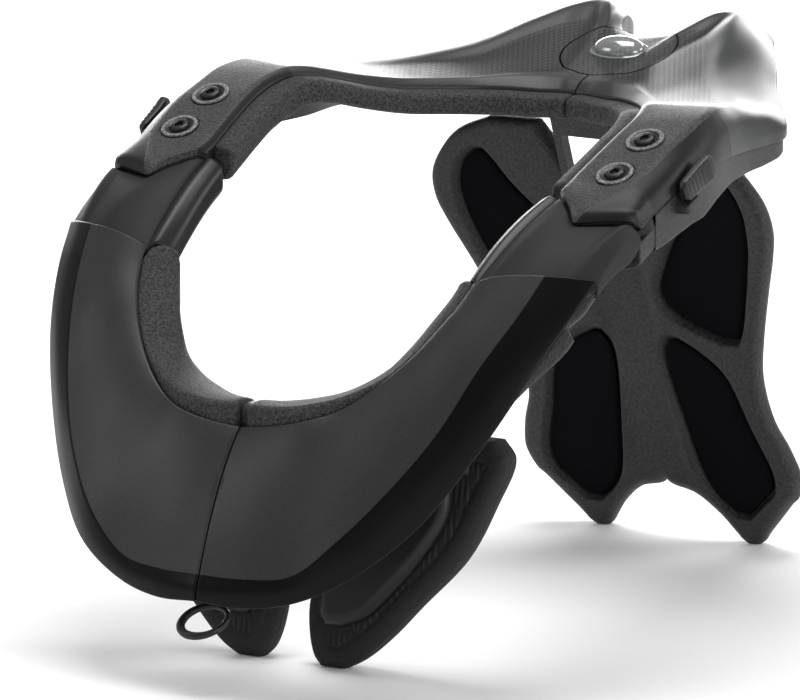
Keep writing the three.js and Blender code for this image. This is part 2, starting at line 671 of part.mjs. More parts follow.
// Frame below the rear shell. It starts below the tongue's slot and rises to the cover behind it.
function rearFrame() {
  const shell = rearGrid();
  const underside = rearUnderside(shell);
  const inset = (row) => [0.08, 0.3, 0.7, 0.95].map((share) => pointAlong(row, share * 0.93));
  const rows = underside.map((row) => inset(row));
  const front = rows[0].map((point) => dropTo(point, SLOT_BOTTOM));
  const slotEnd = (depth, extra) => rows[1].map((point) => {
    const local = armLocal(point);
    return armPoint(local.x, SLOT_END + extra, -depth);
  });
  const top = [
    front,
    slotEnd(SLOT_BOTTOM, 0),
    slotEnd(TONGUE_TOP + CLEARANCE, 0.5),
    ...rows.slice(2).map((row) => row.map((point) => point.clone().setZ(point.z - FRAME_DROP))),
  ];
  top.at(-1).forEach((point) => point.setX(SEAM / 2));
  const depths = top.map((_, n) => bodyShare(Math.max(n - 1, 0)) * HEIGHT);
  const bottom = top.map((row, n) => row.map((point, m) => {
    const lower = point.clone();
    const share = [0.55, 0.8, 1, 0.8][m];
    const taken = n < 2 ? SLOT_BOTTOM - TONGUE_TOP : 0;
    lower.z -= Math.max(share * depths[n] - taken, 2.5);
    return lower;
  }));
  return slab(top, bottom);
}

// Foam pad along the inner edge of the rear shell.
function rearPad() {
  const edge = rearGrid().slice(1).map((row) => row[0]);
  const rings = edge.map((point, n) => {
    const before = edge[Math.max(n - 1, 0)];
    const after = edge[Math.min(n + 1, edge.length - 1)];
    const along = after.clone().sub(before).setZ(0).normalize();
    const flat = new THREE.Vector3(-along.y, along.x, 0);
    const outer = point.clone().addScaledVector(flat, 2 * CLEARANCE);
    const inner = outer.clone().addScaledVector(flat, REAR_PAD_WIDTH);
    const drop = (p, depth) => new THREE.Vector3(p.x, p.y, p.z - depth);
    const share = Math.min(2 * armShare(n + 1), 1);
    const upper = REAR_PAD_TUCK;
    const lower = upper + THREE.MathUtils.lerp(REAR_PAD_DEPTH_BACK, REAR_PAD_DEPTH, share);
    return [
      drop(outer, upper + 0.6),
      drop(lerp(outer, inner, 0.35), upper),
      drop(lerp(outer, inner, 0.8), upper + 0.8),
      drop(inner, upper + REAR_PAD_ROUND),
      drop(inner, lower - REAR_PAD_ROUND),
      drop(lerp(outer, inner, 0.8), lower - 0.8),
      drop(lerp(outer, inner, 0.35), lower),
      drop(outer, lower - 1),
    ];
  });
  rings.at(-1).forEach((point) => point.setX(SEAM / 2));
  return loft(rings);
}

// Release lever, upright to the arm, from its pin at the front to its finger end.
const LEVER = { u: 1.1 * ARM_HALF, v: 0.36 * ARM_HALF, w: -0.72 * ARM_HALF };
function lever() {
  const shape = new THREE.Shape();
  const half = LEVER_WALL / 2;
  const length = LEVER_LENGTH;
  shape.moveTo(-half, 0);
  shape.absarc(0, 0, half, Math.PI, 2 * Math.PI, false);
  shape.lineTo(half + 0.6, 0.55 * length);
  shape.lineTo(half + 2.4, 0.92 * length);
  shape.lineTo(half + 1.2, length);
  shape.lineTo(-half + 0.6, 0.9 * length);
  shape.lineTo(-half, 0.5 * length);
  shape.closePath();
  const options = { depth: LEVER_HEIGHT, bevelEnabled: false, curveSegments: 6 };
  const body = new THREE.ExtrudeGeometry(shape, options);
  body.translate(LEVER.u, LEVER.v, LEVER.w);
  return body.applyMatrix4(ARM_MATRIX);
}

// Ledge of the rear frame that carries the lever's pin.
function leverLedge() {
  const wide = new THREE.BoxGeometry(0.42 * ARM_HALF, 0.42 * ARM_HALF, 3.5);
  wide.translate(LEVER.u - 0.1 * ARM_HALF, LEVER.v + 1, LEVER.w - CLEARANCE - 1.75);
  return wide.applyMatrix4(ARM_MATRIX);
}

function washer(v) {
  const corner = [[WASHER_BORE, 0], [WASHER_RADIUS, 0], [WASHER_RADIUS, 1], [WASHER_BORE, 1]];
  const outline = [...corner, corner[0]];
  const profile = outline.map(([radius, level]) => new THREE.Vector2(radius, (level - 0.5) * WASHER_WALL));
  const ring = new THREE.LatheGeometry(profile, ROUND_SIDES);
  ring.rotateX(Math.PI / 2).translate(0, v, -RECESS_DEPTH + CLEARANCE + WASHER_WALL / 2);
  return ring.applyMatrix4(ARM_MATRIX);
}

function screw(v) {
  const low = -RECESS_DEPTH + CLEARANCE;
  const cylinder = (radius, height, sides) => new THREE.CylinderGeometry(radius, radius, height, sides);
  const head = cylinder(SCREW_HEAD_RADIUS, SCREW_HEAD_HEIGHT, ROUND_SIDES);
  head.translate(0, low + SCREW_HEAD_HEIGHT / 2, 0);
  const shank = cylinder(SCREW_SHANK_RADIUS, SCREW_LENGTH, ROUND_SIDES / 2);
  shank.translate(0, low + SCREW_HEAD_HEIGHT / 2 - SCREW_LENGTH / 2, 0);
  const socket = cylinder(SOCKET_RADIUS, 2 * SOCKET_DEPTH, 6);
  socket.translate(0, low + SCREW_HEAD_HEIGHT, 0);
  const whole = cut(join(head, shank), socket);
  return whole.rotateX(Math.PI / 2).translate(0, v, 0).applyMatrix4(ARM_MATRIX);
}

function emblemDome() {
  const rounded = new THREE.SphereGeometry(1, 18, 10);
  const lower = new THREE.BoxGeometry(4, 4, 4).translate(0, -2, 0);
  const solid = cut(rounded, lower);
  solid.rotateX(Math.PI / 2).scale(DOME_LENGTH / 2, DOME_WIDTH / 2, DOME_HEIGHT);
  solid.translate(0, 0, CLEARANCE);
  return solid.applyMatrix4(discFrame());
}

// Surface of the back plate: distance to the rear at a place across and up.
function backDepth(x, z) {
  const across = x / (0.65 * HALF_WIDTH);
  return 0.745 * LENGTH - BACK_LEAN * z - BACK_WRAP * across * across * (z / (0.75 * HEIGHT));
}

// Plate that follows the back surface, by height, between two depths behind its front.
function backSlab(outline, from, to, grow, bevel) {
  const shares = [0, 0.25, 0.5, 0.75, 1];
  const rings = outline.map((row, n) => {
    const lift = n === 0 ? grow : n === outline.length - 1 ? -grow : 0;
    const z = row.z * HEIGHT + lift;
    const inner = row.inner * HALF_WIDTH - grow;
    const outer = row.outer * HALF_WIDTH + grow;
    const edge = Math.min(bevel, (outer - inner) / 4);
    const across = shares.map((share) => THREE.MathUtils.lerp(inner, outer - edge, share));
    const place = (x, depth) => new THREE.Vector3(x, backDepth(x, z) + depth, z);
    const front = across.map((x) => place(x, from));
    const rear = across.map((x) => place(x, to)).reverse();
    const middle = (from + to) / 2;
    return [place(inner, middle), ...front, place(outer, middle), ...rear];
  });
  return loft(rings);
}

function backPlate() {
  const half = backSlab(BACK_OUTLINE, 0, BACK_WALL, 0, 2);
  const whole = join(half, mirrorGeometry(half));
  const pockets = [UPPER_POCKET, LOWER_POCKET].flatMap((outline) => {
    const pocket = backSlab(outline, -20, POCKET_DEPTH, 0, 0);
    return [pocket, mirrorGeometry(pocket)];
  });
  return cut(whole, ...pockets);
}

function backInsert(outline) {
  return backSlab(outline, POCKET_DEPTH - CLEARANCE - INSERT_WALL, POCKET_DEPTH - CLEARANCE, -POCKET_GAP, 0);
}

// Strip from under the rear centre down to the back plate.
function spineBracket() {
  const topZ = 0.857 * HEIGHT;
  const lowZ = 0.700 * HEIGHT;
  const half = BRACKET_WIDTH / 2;
  const ring = (z, y) => [
    new THREE.Vector3(-half, y - BRACKET_WALL, z),
    new THREE.Vector3(half, y - BRACKET_WALL, z),
    new THREE.Vector3(half, y, z),
    new THREE.Vector3(-half, y, z),
  ];
  const face = (z) => backDepth(half, z) - CLEARANCE;
  const heights = [topZ, (topZ + lowZ) / 2, lowZ];
  return loft(heights.map((z) => ring(z, face(z))));
}

// Upright plate by height, leaning with the chest.
function chestSlab(outline, from, to, bevel) {
  const rings = outline.map((row) => {
    const z = row.z * HEIGHT;
    const inner = row.inner * HALF_WIDTH;
    const outer = row.outer * HALF_WIDTH;
    const y = CHEST_LEAN * z;
    const middle = (inner + outer) / 2;
    const edge = Math.min(bevel, (outer - inner) / 3);
    return [
      new THREE.Vector3(inner + edge, y + from, z),
      new THREE.Vector3(middle, y + from, z),
      new THREE.Vector3(outer - edge, y + from, z),
      new THREE.Vector3(outer, y + (from + to) / 2, z),
      new THREE.Vector3(outer - edge, y + to, z),
      new THREE.Vector3(middle, y + to, z),
      new THREE.Vector3(inner + edge, y + to, z),
      new THREE.Vector3(inner, y + (from + to) / 2, z),
    ];
  });
  return loft(rings);
}

const chestPad = () => chestSlab(CHEST_OUTLINE, -0.5 * CHEST_WALL, 0.5 * CHEST_WALL, 4);
const chestCap = () => chestSlab(CAP_OUTLINE, -0.5 * CHEST_WALL - CAP_RISE, -0.5 * CHEST_WALL - CLEARANCE, 5);

// Ring that lies behind the lower lip of the bib and rises to the rear.
function ringSolid(wire) {
  const ring = new THREE.TorusGeometry(LOOP_RADIUS, wire / 2, 6, 22);
  const centre = at(LOOP_CENTRE);
  return welded(ring).rotateX(LOOP_TILT).translate(centre.x, centre.y, centre.z);
}

// Lug of the frame that holds the ring at its rear.
function loopLug() {
  const centre = at(LOOP_CENTRE);
  const lug = new THREE.BoxGeometry(LUG_WIDTH, LUG_DEPTH, LUG_HEIGHT);
  const rear = LOOP_RADIUS * Math.cos(LOOP_TILT) - LUG_DEPTH / 2 + LUG_BELOW;
  const up = LOOP_RADIUS * Math.sin(LOOP_TILT);
  lug.translate(centre.x, centre.y + rear, centre.z + up + LUG_HEIGHT / 2 - LUG_BELOW);
  return cut(lug, ringSolid(LOOP_WIRE + 2 * CLEARANCE));
}

// Materials by name: colour, roughness and metalness.
const FINISHES = {
  satin_shell: [0x2b2d30, 0.42, 0],
  grain_plastic: [0x2c2e31, 0.62, 0],
  matte_frame: [0x1e1f21, 0.7, 0],
  foam: [0x161718, 0.9, 0],
  rubber: [0x1b1c1e, 0.55, 0],
  soft_plate: [0x2a2b2d, 0.75, 0],
  insert_foam: [0x0e0e10, 0.95, 0],
  pad_cover: [0x17181a, 0.85, 0],
  washer_metal: [0x9a9c9e, 0.45, 0.7],
  screw_metal: [0x151618, 0.4, 0.6],
  dome_gloss: [0x6b6f74, 0.15, 0.2],
};

const brace = new THREE.Group();
function add(name, geometry, finish) {
  const [color, roughness, metalness] = FINISHES[finish];
  const mesh = new THREE.Mesh(geometry, new THREE.MeshStandardMaterial({ color, roughness, metalness }));
  mesh.name = name;
  brace.add(mesh);
}

function addPair(name, geometry, finish) {
  add(`${name}_l`, geometry, finish);
  add(`${name}_r`, mirrorGeometry(geometry), finish);
}

addPair('front_shell', bibShell(), 'satin_shell');
const carrier = chestCarrier();
add('front_frame', join(bibFrame(), carrier, mirrorGeometry(carrier), loopLug()), 'matte_frame');
addPair('front_pad', frontPad(), 'foam');
addPair('side_arm', sideArm(), 'grain_plastic');
addPair('side_pad', sleeve(), 'rubber');
addPair('rear_shell', rearShell(), 'grain_plastic');
const rearBody = join(rearFrame(), leverLedge());
addPair('rear_frame', rearBody, 'matte_frame');
addPair('rear_pad', rearPad(), 'foam');
addPair('release_lever', lever(), 'rubber');
[['front', 0], ['rear', SCREW_SPACING]].forEach(([place, v]) => {
  addPair(`washer_${place}`, washer(v), 'washer_metal');
  addPair(`screw_${place}`, screw(v), 'screw_metal');
});
add('rear_disc', discSolid(), 'grain_plastic');
add('emblem_dome', emblemDome(), 'dome_gloss');
addPair('chest_pad', chestPad(), 'pad_cover');
addPair('chest_cap', chestCap(), 'rubber');
add('strap_loop', ringSolid(LOOP_WIRE), 'matte_frame');
add('back_plate', backPlate(), 'soft_plate');
addPair('back_insert_upper', backInsert(UPPER_POCKET), 'insert_foam');
addPair('back_insert_lower', backInsert(LOWER_POCKET), 'insert_foam');
const lowered = rearBody.clone().translate(0, 0, -CLEARANCE);
const loweredPad = rearPad().translate(0, 0, -CLEARANCE);
const aboveBracket = [lowered, mirrorGeometry(lowered), loweredPad, mirrorGeometry(loweredPad)];
add('spine_bracket', cut(spineBracket(), ...aboveBracket), 'matte_frame');

// Origin at the middle of the outline, on the floor.
const box = new THREE.Box3().setFromObject(brace);
const middle = box.getCenter(new THREE.Vector3());
brace.children.forEach((mesh) => mesh.geometry.translate(0, -middle.y, -box.min.z));

export default brace;
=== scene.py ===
# Looks of the motocross neck brace: modelled meshes, materials, lights and camera.
import math

import bmesh
import bpy
import numpy as np
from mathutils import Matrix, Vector


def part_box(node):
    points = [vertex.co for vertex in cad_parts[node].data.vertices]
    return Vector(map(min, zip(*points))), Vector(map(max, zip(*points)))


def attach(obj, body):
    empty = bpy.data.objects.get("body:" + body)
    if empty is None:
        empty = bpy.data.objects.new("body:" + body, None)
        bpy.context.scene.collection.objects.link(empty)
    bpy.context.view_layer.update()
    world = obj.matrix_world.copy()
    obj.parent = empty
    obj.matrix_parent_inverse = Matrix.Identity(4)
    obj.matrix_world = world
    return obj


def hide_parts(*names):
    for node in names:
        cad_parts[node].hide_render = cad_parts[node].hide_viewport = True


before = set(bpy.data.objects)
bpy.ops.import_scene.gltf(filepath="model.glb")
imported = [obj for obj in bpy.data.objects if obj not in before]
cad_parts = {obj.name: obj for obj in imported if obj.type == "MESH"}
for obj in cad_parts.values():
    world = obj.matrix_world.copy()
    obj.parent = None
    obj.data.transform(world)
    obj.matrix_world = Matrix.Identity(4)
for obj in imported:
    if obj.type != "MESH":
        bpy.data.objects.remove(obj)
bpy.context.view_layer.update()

# Camera at the photograph's angle
TARGET = Vector((0.0, -0.0363, 0.1025))
AZIMUTH = math.radians(33.0)
ELEVATION = math.radians(10.8)
DISTANCE = 3.6
LENS = 445.5
SENSOR = 36.0
scene = bpy.context.scene
camera = bpy.data.objects.new("camera", bpy.data.cameras.new("camera"))
scene.collection.objects.link(camera)
towards = Vector((
    math.sin(AZIMUTH) * math.cos(ELEVATION),
    -math.cos(AZIMUTH) * math.cos(ELEVATION),
    math.sin(ELEVATION),
))
camera.location = TARGET + DISTANCE * towards
camera.rotation_euler = (-towards).to_track_quat("-Z", "Y").to_euler()
camera.data.lens = LENS
camera.data.sensor_width = SENSOR
scene.camera = camera

# Sizes in millimetres; leans are slopes and tilts are radians
MM = 0.001
HALF_WIDTH = 114.0
LENGTH = 350.0
HEIGHT = 204.0
CLEARANCE = 0.3
SEAM = 0.5
SHELL_WALL = 2.6
SHELL_CROWN = 3.0
FRAME_GAP = 0.6
FRAME_WALL = 4.5
FRAME_INSET = 2.5
LIP_WIDTH = 2.4
LEAF_WIDTH = 5.0
PAD_SEAM = 4.0
PAD_PROUD = 0.5
PAD_DEPTH = 20.0
PAD_ROUND = 5.0
PAD_TUCK = 0.9
PAD_GROOVE = 1.1
SLEEVE_DEPTH = 12.0
SLEEVE_WIDTH = 8.5
REAR_PAD_DEPTH = 13.0
REAR_PAD_DEPTH_BACK = 9.5
REAR_PAD_WIDTH = 8.0
REAR_PAD_TUCK = 0.8
RIM_DROP = 2.2
ARM_STEP = 1.4
ARM_DEPTH = 12.5
ARM_SUNK = 0.55
ARM_END_GAP = 1.2
COVER_DEPTH = 10.7
COVER_CHAMFER = 2.6
SEAM_LIFT = 2.3
PLATE_WALL = 4.5
FRAME_DROP = 1.2
FRAME_LEAST = 2.5
TONGUE_WALL = 4.2
TONGUE_END_GAP = 3.0
HINGE_RADIUS = 5.0
SCREW_SPACING = 22.4
WASHER_RADIUS = 7.0
WASHER_WALL = 1.0
WASHER_BORE = 4.0
RECESS_DEPTH = 1.6
RECESS_GAP = 0.7
HEAD_RADIUS = 3.6
HEAD_HEIGHT = 1.8
SHANK_RADIUS = 2.6
SCREW_LENGTH = 8.0
SOCKET_RADIUS = 1.9
SOCKET_DEPTH = 1.2
DISC_RADIUS = 22.0
DISC_GAP = 0.75
DISC_Y = 220.0
DISC_CUT = 20.0
DOME_LENGTH = 24.5
DOME_WIDTH = 16.0
DOME_HEIGHT = 4.8
LEVER_LENGTH = 19.0
LEVER_HEIGHT = 9.0
BACK_WALL = 9.0
BACK_LEAN = 0.375
BACK_WRAP = 8.0
BACK_ROUND = 4.3
BACK_CHANNEL = 1.3
BRACKET_HALF = 13.0
BRACKET_LEG = 3.5
BRACKET_WALL = 5.0
POCKET_DEPTH = 4.5
INSERT_WALL = 2.0
INSERT_SHRINK = 1.7
CHEST_WALL = 12.0
CHEST_LEAN = 0.16
CHEST_ROUND = 5.0
CHEST_BAND = 8.4
WELT_RADIUS = 1.1
CAP_RISE = 5.0
LOOP_RADIUS = 8.7
LOOP_WIRE = 2.6
LOOP_TILT = 0.47

# Bib sections from the centre seam to the arm: neck edge a, crease b, outer edge c, neck side p
BIB = [dict(zip("abcp", row)) for row in (
    ((0.000, -0.100, 0.450), (0.000, -0.177, 0.206), (0.000, -0.182, 0.162), (0.000, -0.057, 0.488)),
    ((0.114, -0.106, 0.459), (0.158, -0.173, 0.206), (0.167, -0.174, 0.157), (0.096, -0.050, 0.490)),
    ((0.228, -0.103, 0.473), (0.316, -0.163, 0.218), (0.333, -0.161, 0.174), (0.184, -0.037, 0.498)),
    ((0.331, -0.084, 0.493), (0.456, -0.151, 0.282), (0.509, -0.143, 0.225), (0.272, -0.026, 0.512)),
    ((0.428, -0.063, 0.534), (0.588, -0.121, 0.370), (0.667, -0.104, 0.309), (0.351, -0.017, 0.539)),
    ((0.511, -0.038, 0.584), (0.693, -0.083, 0.466), (0.803, -0.060, 0.436), (0.421, 0.000, 0.578)),
    ((0.568, -0.013, 0.635), (0.772, -0.041, 0.578), (0.899, -0.017, 0.556), (0.474, 0.019, 0.625)),
    ((0.601, 0.009, 0.674), (0.833, 0.006, 0.668), (0.960, 0.027, 0.650), (0.509, 0.036, 0.659)),
    ((0.614, 0.025, 0.703), (0.860, 0.039, 0.728), (0.991, 0.065, 0.718), (0.528, 0.047, 0.680)),
)]

# Front edge of a screw cover: across, along the arm, and down from its flat top
COVER_FRONT = [
    (-0.86, -0.56, 0.16),
    (-0.72, -0.66, 0.03),
    (-0.36, -1.05, 0.03),
    (-0.12, -1.40, 0.06),
    (0.86, -1.02, 0.18),
    (0.94, -0.93, 0.42),
]

# Rear sections from the cover to the rear seam: inner edge i, crease k and outer edge o
REAR = [dict(zip("iko", row)) for row in (
    ((0.670, 0.177, 0.855), (0.908, 0.177, 0.860), (0.991, 0.171, 0.807)),
    ((0.675, 0.200, 0.874), (0.921, 0.203, 0.880), (0.998, 0.200, 0.829)),
    ((0.682, 0.229, 0.897), (0.925, 0.234, 0.904), (1.000, 0.234, 0.853)),
    ((0.687, 0.263, 0.922), (0.925, 0.271, 0.926), (0.991, 0.274, 0.862)),
    ((0.682, 0.297, 0.941), (0.921, 0.309, 0.946), (0.969, 0.314, 0.870)),
    ((0.658, 0.323, 0.951), (0.895, 0.346, 0.953), (0.934, 0.360, 0.875)),
    ((0.623, 0.343, 0.949), (0.860, 0.383, 0.946), (0.899, 0.414, 0.875)),
    ((0.592, 0.360, 0.942), (0.833, 0.417, 0.936), (0.882, 0.463, 0.874)),
    ((0.538, 0.396, 0.925), (0.772, 0.463, 0.926), (0.870, 0.503, 0.877)),
    ((0.463, 0.436, 0.911), (0.667, 0.503, 0.924), (0.772, 0.549, 0.897)),
    ((0.379, 0.473, 0.905), (0.570, 0.549, 0.931), (0.667, 0.596, 0.914)),
    ((0.297, 0.502, 0.900), (0.474, 0.591, 0.944), (0.574, 0.645, 0.931)),
    ((0.219, 0.519, 0.897), (0.386, 0.651, 0.975), (0.447, 0.709, 0.946)),
    ((0.154, 0.529, 0.893), (0.316, 0.694, 0.995), (0.360, 0.754, 0.939)),
    ((0.115, 0.533, 0.891), (0.263, 0.726, 1.000), (0.272, 0.797, 0.934)),
    ((0.085, 0.536, 0.890), (0.211, 0.720, 0.997), (0.224, 0.774, 0.951)),
    ((0.058, 0.538, 0.889), (0.158, 0.694, 0.976), (0.167, 0.731, 0.966)),
    ((0.030, 0.539, 0.889), (0.100, 0.657, 0.949), (0.100, 0.691, 0.953)),
    ((0.000, 0.540, 0.888), (0.000, 0.645, 0.942), (0.000, 0.683, 0.942)),
)]

# Share of the arm and depth of the body below at the first of these sections; the last value goes on
ARM_BLEND = (1.0, 1.0, 1.0, 0.9, 0.6, 0.3, 0.1, 0.0)
BODY_DEPTH = (0.064, 0.074, 0.084, 0.084, 0.064, 0.050, 0.042, 0.036, 0.030)

# Outlines of one half by height: z, inner edge and outer edge
BACK_OUTLINE = [
    (0.820, 0.208, 0.380), (0.790, 0.175, 0.505), (0.750, 0.138, 0.580), (0.700, 0.090, 0.635),
    (0.650, 0.045, 0.645), (0.600, -0.010, 0.622), (0.520, -0.010, 0.565), (0.420, -0.010, 0.500),
    (0.345, -0.010, 0.465), (0.260, -0.010, 0.472), (0.205, -0.010, 0.510), (0.147, -0.010, 0.532),
    (0.108, 0.010, 0.508), (0.090, 0.110, 0.475), (0.055, 0.190, 0.415), (0.024, 0.236, 0.362),
    (0.008, 0.258, 0.338), (0.000, 0.275, 0.318),
]
UPPER_POCKET = [
    (0.755, 0.430, 0.465), (0.735, 0.400, 0.510), (0.690, 0.350, 0.550), (0.625, 0.250, 0.550),
    (0.560, 0.175, 0.520), (0.490, 0.125, 0.480), (0.450, 0.180, 0.455), (0.412, 0.350, 0.420),
]
LOWER_POCKET = [
    (0.410, 0.125, 0.165), (0.385, 0.098, 0.250), (0.343, 0.094, 0.335), (0.240, 0.118, 0.395),
    (0.150, 0.145, 0.445), (0.115, 0.165, 0.435), (0.080, 0.210, 0.370), (0.055, 0.265, 0.320),
]
CHEST_OUTLINE = [
    (0.000, 0.115, 0.200), (0.018, 0.085, 0.262), (0.060, 0.060, 0.350), (0.120, 0.055, 0.450),
    (0.210, 0.120, 0.600), (0.310, 0.250, 0.690), (0.395, 0.430, 0.740), (0.428, 0.500, 0.690),
]
CAP_OUTLINE = [
    (0.078, 0.150, 0.215), (0.100, 0.120, 0.300), (0.150, 0.130, 0.390), (0.210, 0.190, 0.480),
    (0.285, 0.300, 0.560), (0.345, 0.420, 0.570),
]


# Points and curves
CORNERS = ((-1, -1), (1, -1), (1, 1), (-1, 1))


def at(share):
    return np.array(share, float) * (HALF_WIDTH, LENGTH, HEIGHT)


def curve(points, steps):
    """Smooth curve through points, at even steps of its parameter."""
    points = np.array(points, float)
    ends = np.vstack([2 * points[0] - points[1], points, 2 * points[-1] - points[-2]])
    spans = len(points) - 1
    result = []
    for n in range(steps + 1):
        place = min(n * spans / steps, spans - 1e-9)
        k = int(place)
        w = place - k
        x0, x1, x2, x3 = ends[k:k + 4]
        d0, d1, d2 = (max(np.sum((q - p) ** 2) ** 0.25, 1e-4) for p, q in ((x0, x1), (x1, x2), (x2, x3)))
        t1 = ((x1 - x0) / d0 - (x2 - x0) / (d0 + d1) + (x2 - x1) / d1) * d1
        t2 = ((x2 - x1) / d1 - (x3 - x1) / (d1 + d2) + (x3 - x2) / d2) * d1
        square = 3 * (x2 - x1) - 2 * t1 - t2
        cube = 2 * (x1 - x2) + t1 + t2
        result.append(x1 + t1 * w + square * w ** 2 + cube * w ** 3)
    return np.array(result)


def run_length(run):
    return float(np.linalg.norm(np.diff(run, axis=0), axis=1).sum())


def resample(run, count, start=0.0, end=0.0):
    """Points at even lengths along a run, after cutting lengths off its two ends."""
    place = np.concatenate([[0.0], np.cumsum(np.linalg.norm(np.diff(run, axis=0), axis=1))])
    want = np.linspace(start, place[-1] - end, count)
    return np.stack([np.interp(want, place, run[:, k]) for k in range(run.shape[1])], axis=1)


def ring_through(runs, radii, counts, arc=3):
    """Closed ring along runs that meet at rounded corners, with a label for each point."""
    runs = [np.array(run, float) for run in runs]
    total = len(runs)
    lengths = [run_length(run) for run in runs]
    cuts = [min(radii[n], 0.45 * lengths[n], 0.45 * lengths[(n + 1) % total]) for n in range(total)]
    points, labels = [], []
    for n, run in enumerate(runs):
        part = resample(run, counts[n], cuts[n - 1], cuts[n])
        following = resample(runs[(n + 1) % total], 2, cuts[n], 0.0)[0]
        points.extend(part)
        labels.extend(n + 0.99 * np.linspace(0, 1, counts[n]))
        for t in np.linspace(0, 1, arc + 2)[1:-1]:
            points.append((1 - t) ** 2 * part[-1] + 2 * t * (1 - t) * run[-1] + t * t * following)
            labels.append(n + 0.995)
    return np.array(points), np.array(labels)


def rounded_polygon(corners, radii, per_edge=2, arc=3):
    count = len(corners)
    runs = [[corner, corners[(n + 1) % count]] for n, corner in enumerate(corners)]
    after = [radii[(n + 1) % count] for n in range(count)]
    return ring_through(runs, after, [per_edge] * count, arc)[0]


def offset(grid, distance):
    """Grid moved off its surface along its normals."""
    normal = np.cross(np.gradient(grid, axis=1), np.gradient(grid, axis=0))
    return grid + normal / np.linalg.norm(normal, axis=2, keepdims=True) * distance


def full_turn(count):
    return np.linspace(0, 2 * math.pi, count, endpoint=False)


def smoothstep(value, low, high):
    t = np.clip((value - low) / (high - low), 0.0, 1.0)
    return t * t * (3 - 2 * t)


# Meshes
END_ANGLES = (90, 65, 40, 20, 0)
END_RINGS = len(END_ANGLES)
WELD = 2e-6


def rounded_end(rings, radius):
    """Rings with the first end rounded over a radius."""
    centre = rings[0].mean(axis=0)
    axis = centre - rings[1].mean(axis=0)
    axis /= np.linalg.norm(axis)
    gone = 1
    while gone < len(rings) - 2 and np.dot(centre - rings[gone].mean(axis=0), axis) < 1.25 * radius:
        gone += 1
    rest = rings[gone:]
    first = rings[0]
    area = np.cross(first - centre, np.roll(first, -1, axis=0) - centre).sum(axis=0)
    side = 1.0 if np.dot(area, axis) > 0 else -1.0
    tangent = np.roll(first, -1, axis=0) - np.roll(first, 1, axis=0)
    inward = side * np.cross(axis, tangent)
    inward /= np.maximum(np.linalg.norm(inward, axis=1, keepdims=True), 1e-9)
    extra = []
    for angle in END_ANGLES:
        turn = math.radians(angle)
        back = radius * (1 - math.sin(turn))
        inset = radius * (1 - math.cos(turn))
        extra.append(first - axis * back + inward * inset)
    return extra + rest


def loft(rings, start=0.0, end=0.0, zone=None, closed=False):
    """Vertices, faces and material zones of a body through rings of points."""
    rings = [np.array(r, float) for r in rings]
    shares = list(np.linspace(0, 1, len(rings)))
    if start:
        rings = rounded_end(rings, start)
        shares = [0.0] * END_RINGS + shares[len(shares) - len(rings) + END_RINGS:]
    if end:
        rings = rounded_end(rings[::-1], end)[::-1]
        shares = shares[:len(rings) - END_RINGS] + [1.0] * END_RINGS
    size = len(rings[0])
    faces, zones = [], []
    count = len(rings)
    for n in range(count if closed else count - 1):
        after = (n + 1) % count
        for m in range(size):
            side = (m + 1) % size
            faces.append((n * size + m, n * size + side, after * size + side, after * size + m))
            zones.append(zone(shares[n], m) if zone else 0)
    if not closed:
        faces.append(tuple(range(size - 1, -1, -1)))
        faces.append(tuple(range((count - 1) * size, count * size)))
        zones.extend([0, 0])
    return np.concatenate(rings), faces, zones


def sheet_body(front, rear, zone=None):
    """Closed body between two grids of points of the same size."""
    rows, cols = front.shape[:2]
    faces, zones = [], []
    back = rows * cols
    for n in range(rows - 1):
        for m in range(cols - 1):
            a = n * cols + m
            quad = (a, a + 1, a + cols + 1, a + cols)
            faces.append(quad)
            zones.append(zone(n, m) if zone else 0)
            faces.append(tuple(back + v for v in reversed(quad)))
            zones.append(0)
    grid = np.arange(back).reshape(rows, cols)
    border = np.concatenate([grid[0], grid[1:, -1], grid[-1, -2::-1], grid[-2:0:-1, 0]]).tolist()
    for n, a in enumerate(border):
        b = border[(n + 1) % len(border)]
        faces.append((a, back + a, back + b, b))
        zones.append(0)
    vertices = np.concatenate([front.reshape(-1, 3), rear.reshape(-1, 3)])
    return vertices, faces, zones


def lathe(profile, sides, place):
    """Body turned about an axis, by (radius, height, number of flat sides or 0)."""
    rings = []
    for radius, height, flats in profile:
        ring = []
        for angle in full_turn(sides):
            reach = radius
            if flats:
                part = math.pi / flats
                reach = radius * math.cos(part) / math.cos(angle % (2 * part) - part)
            ring.append(place(reach * math.cos(angle), reach * math.sin(angle), height))
        rings.append(np.array(ring))
    return loft(rings)


def mirrored(part):
    vertices, faces, zones = part
    return vertices * (-1, 1, 1), [tuple(reversed(f)) for f in faces], zones


def object_from(name, parts, materials=()):
    vertices, faces, zones = [], [], []
    for points, quads, marks in parts:
        start = len(vertices)
        vertices.extend((points * MM + SHIFT).tolist())
        faces.extend(tuple(start + v for v in f) for f in quads)
        zones.extend(marks)
    mesh = bpy.data.meshes.new(name)
    mesh.from_pydata(vertices, [], faces)
    for item in materials:
        mesh.materials.append(item)
    mesh.polygons.foreach_set("material_index", zones)
    shape = bmesh.new()
    shape.from_mesh(mesh)
    bmesh.ops.remove_doubles(shape, verts=shape.verts, dist=WELD)
    bmesh.ops.recalc_face_normals(shape, faces=shape.faces)
    shape.to_mesh(mesh)
    shape.free()
    obj = bpy.data.objects.new(name, mesh)
    scene.collection.objects.link(obj)
    return obj


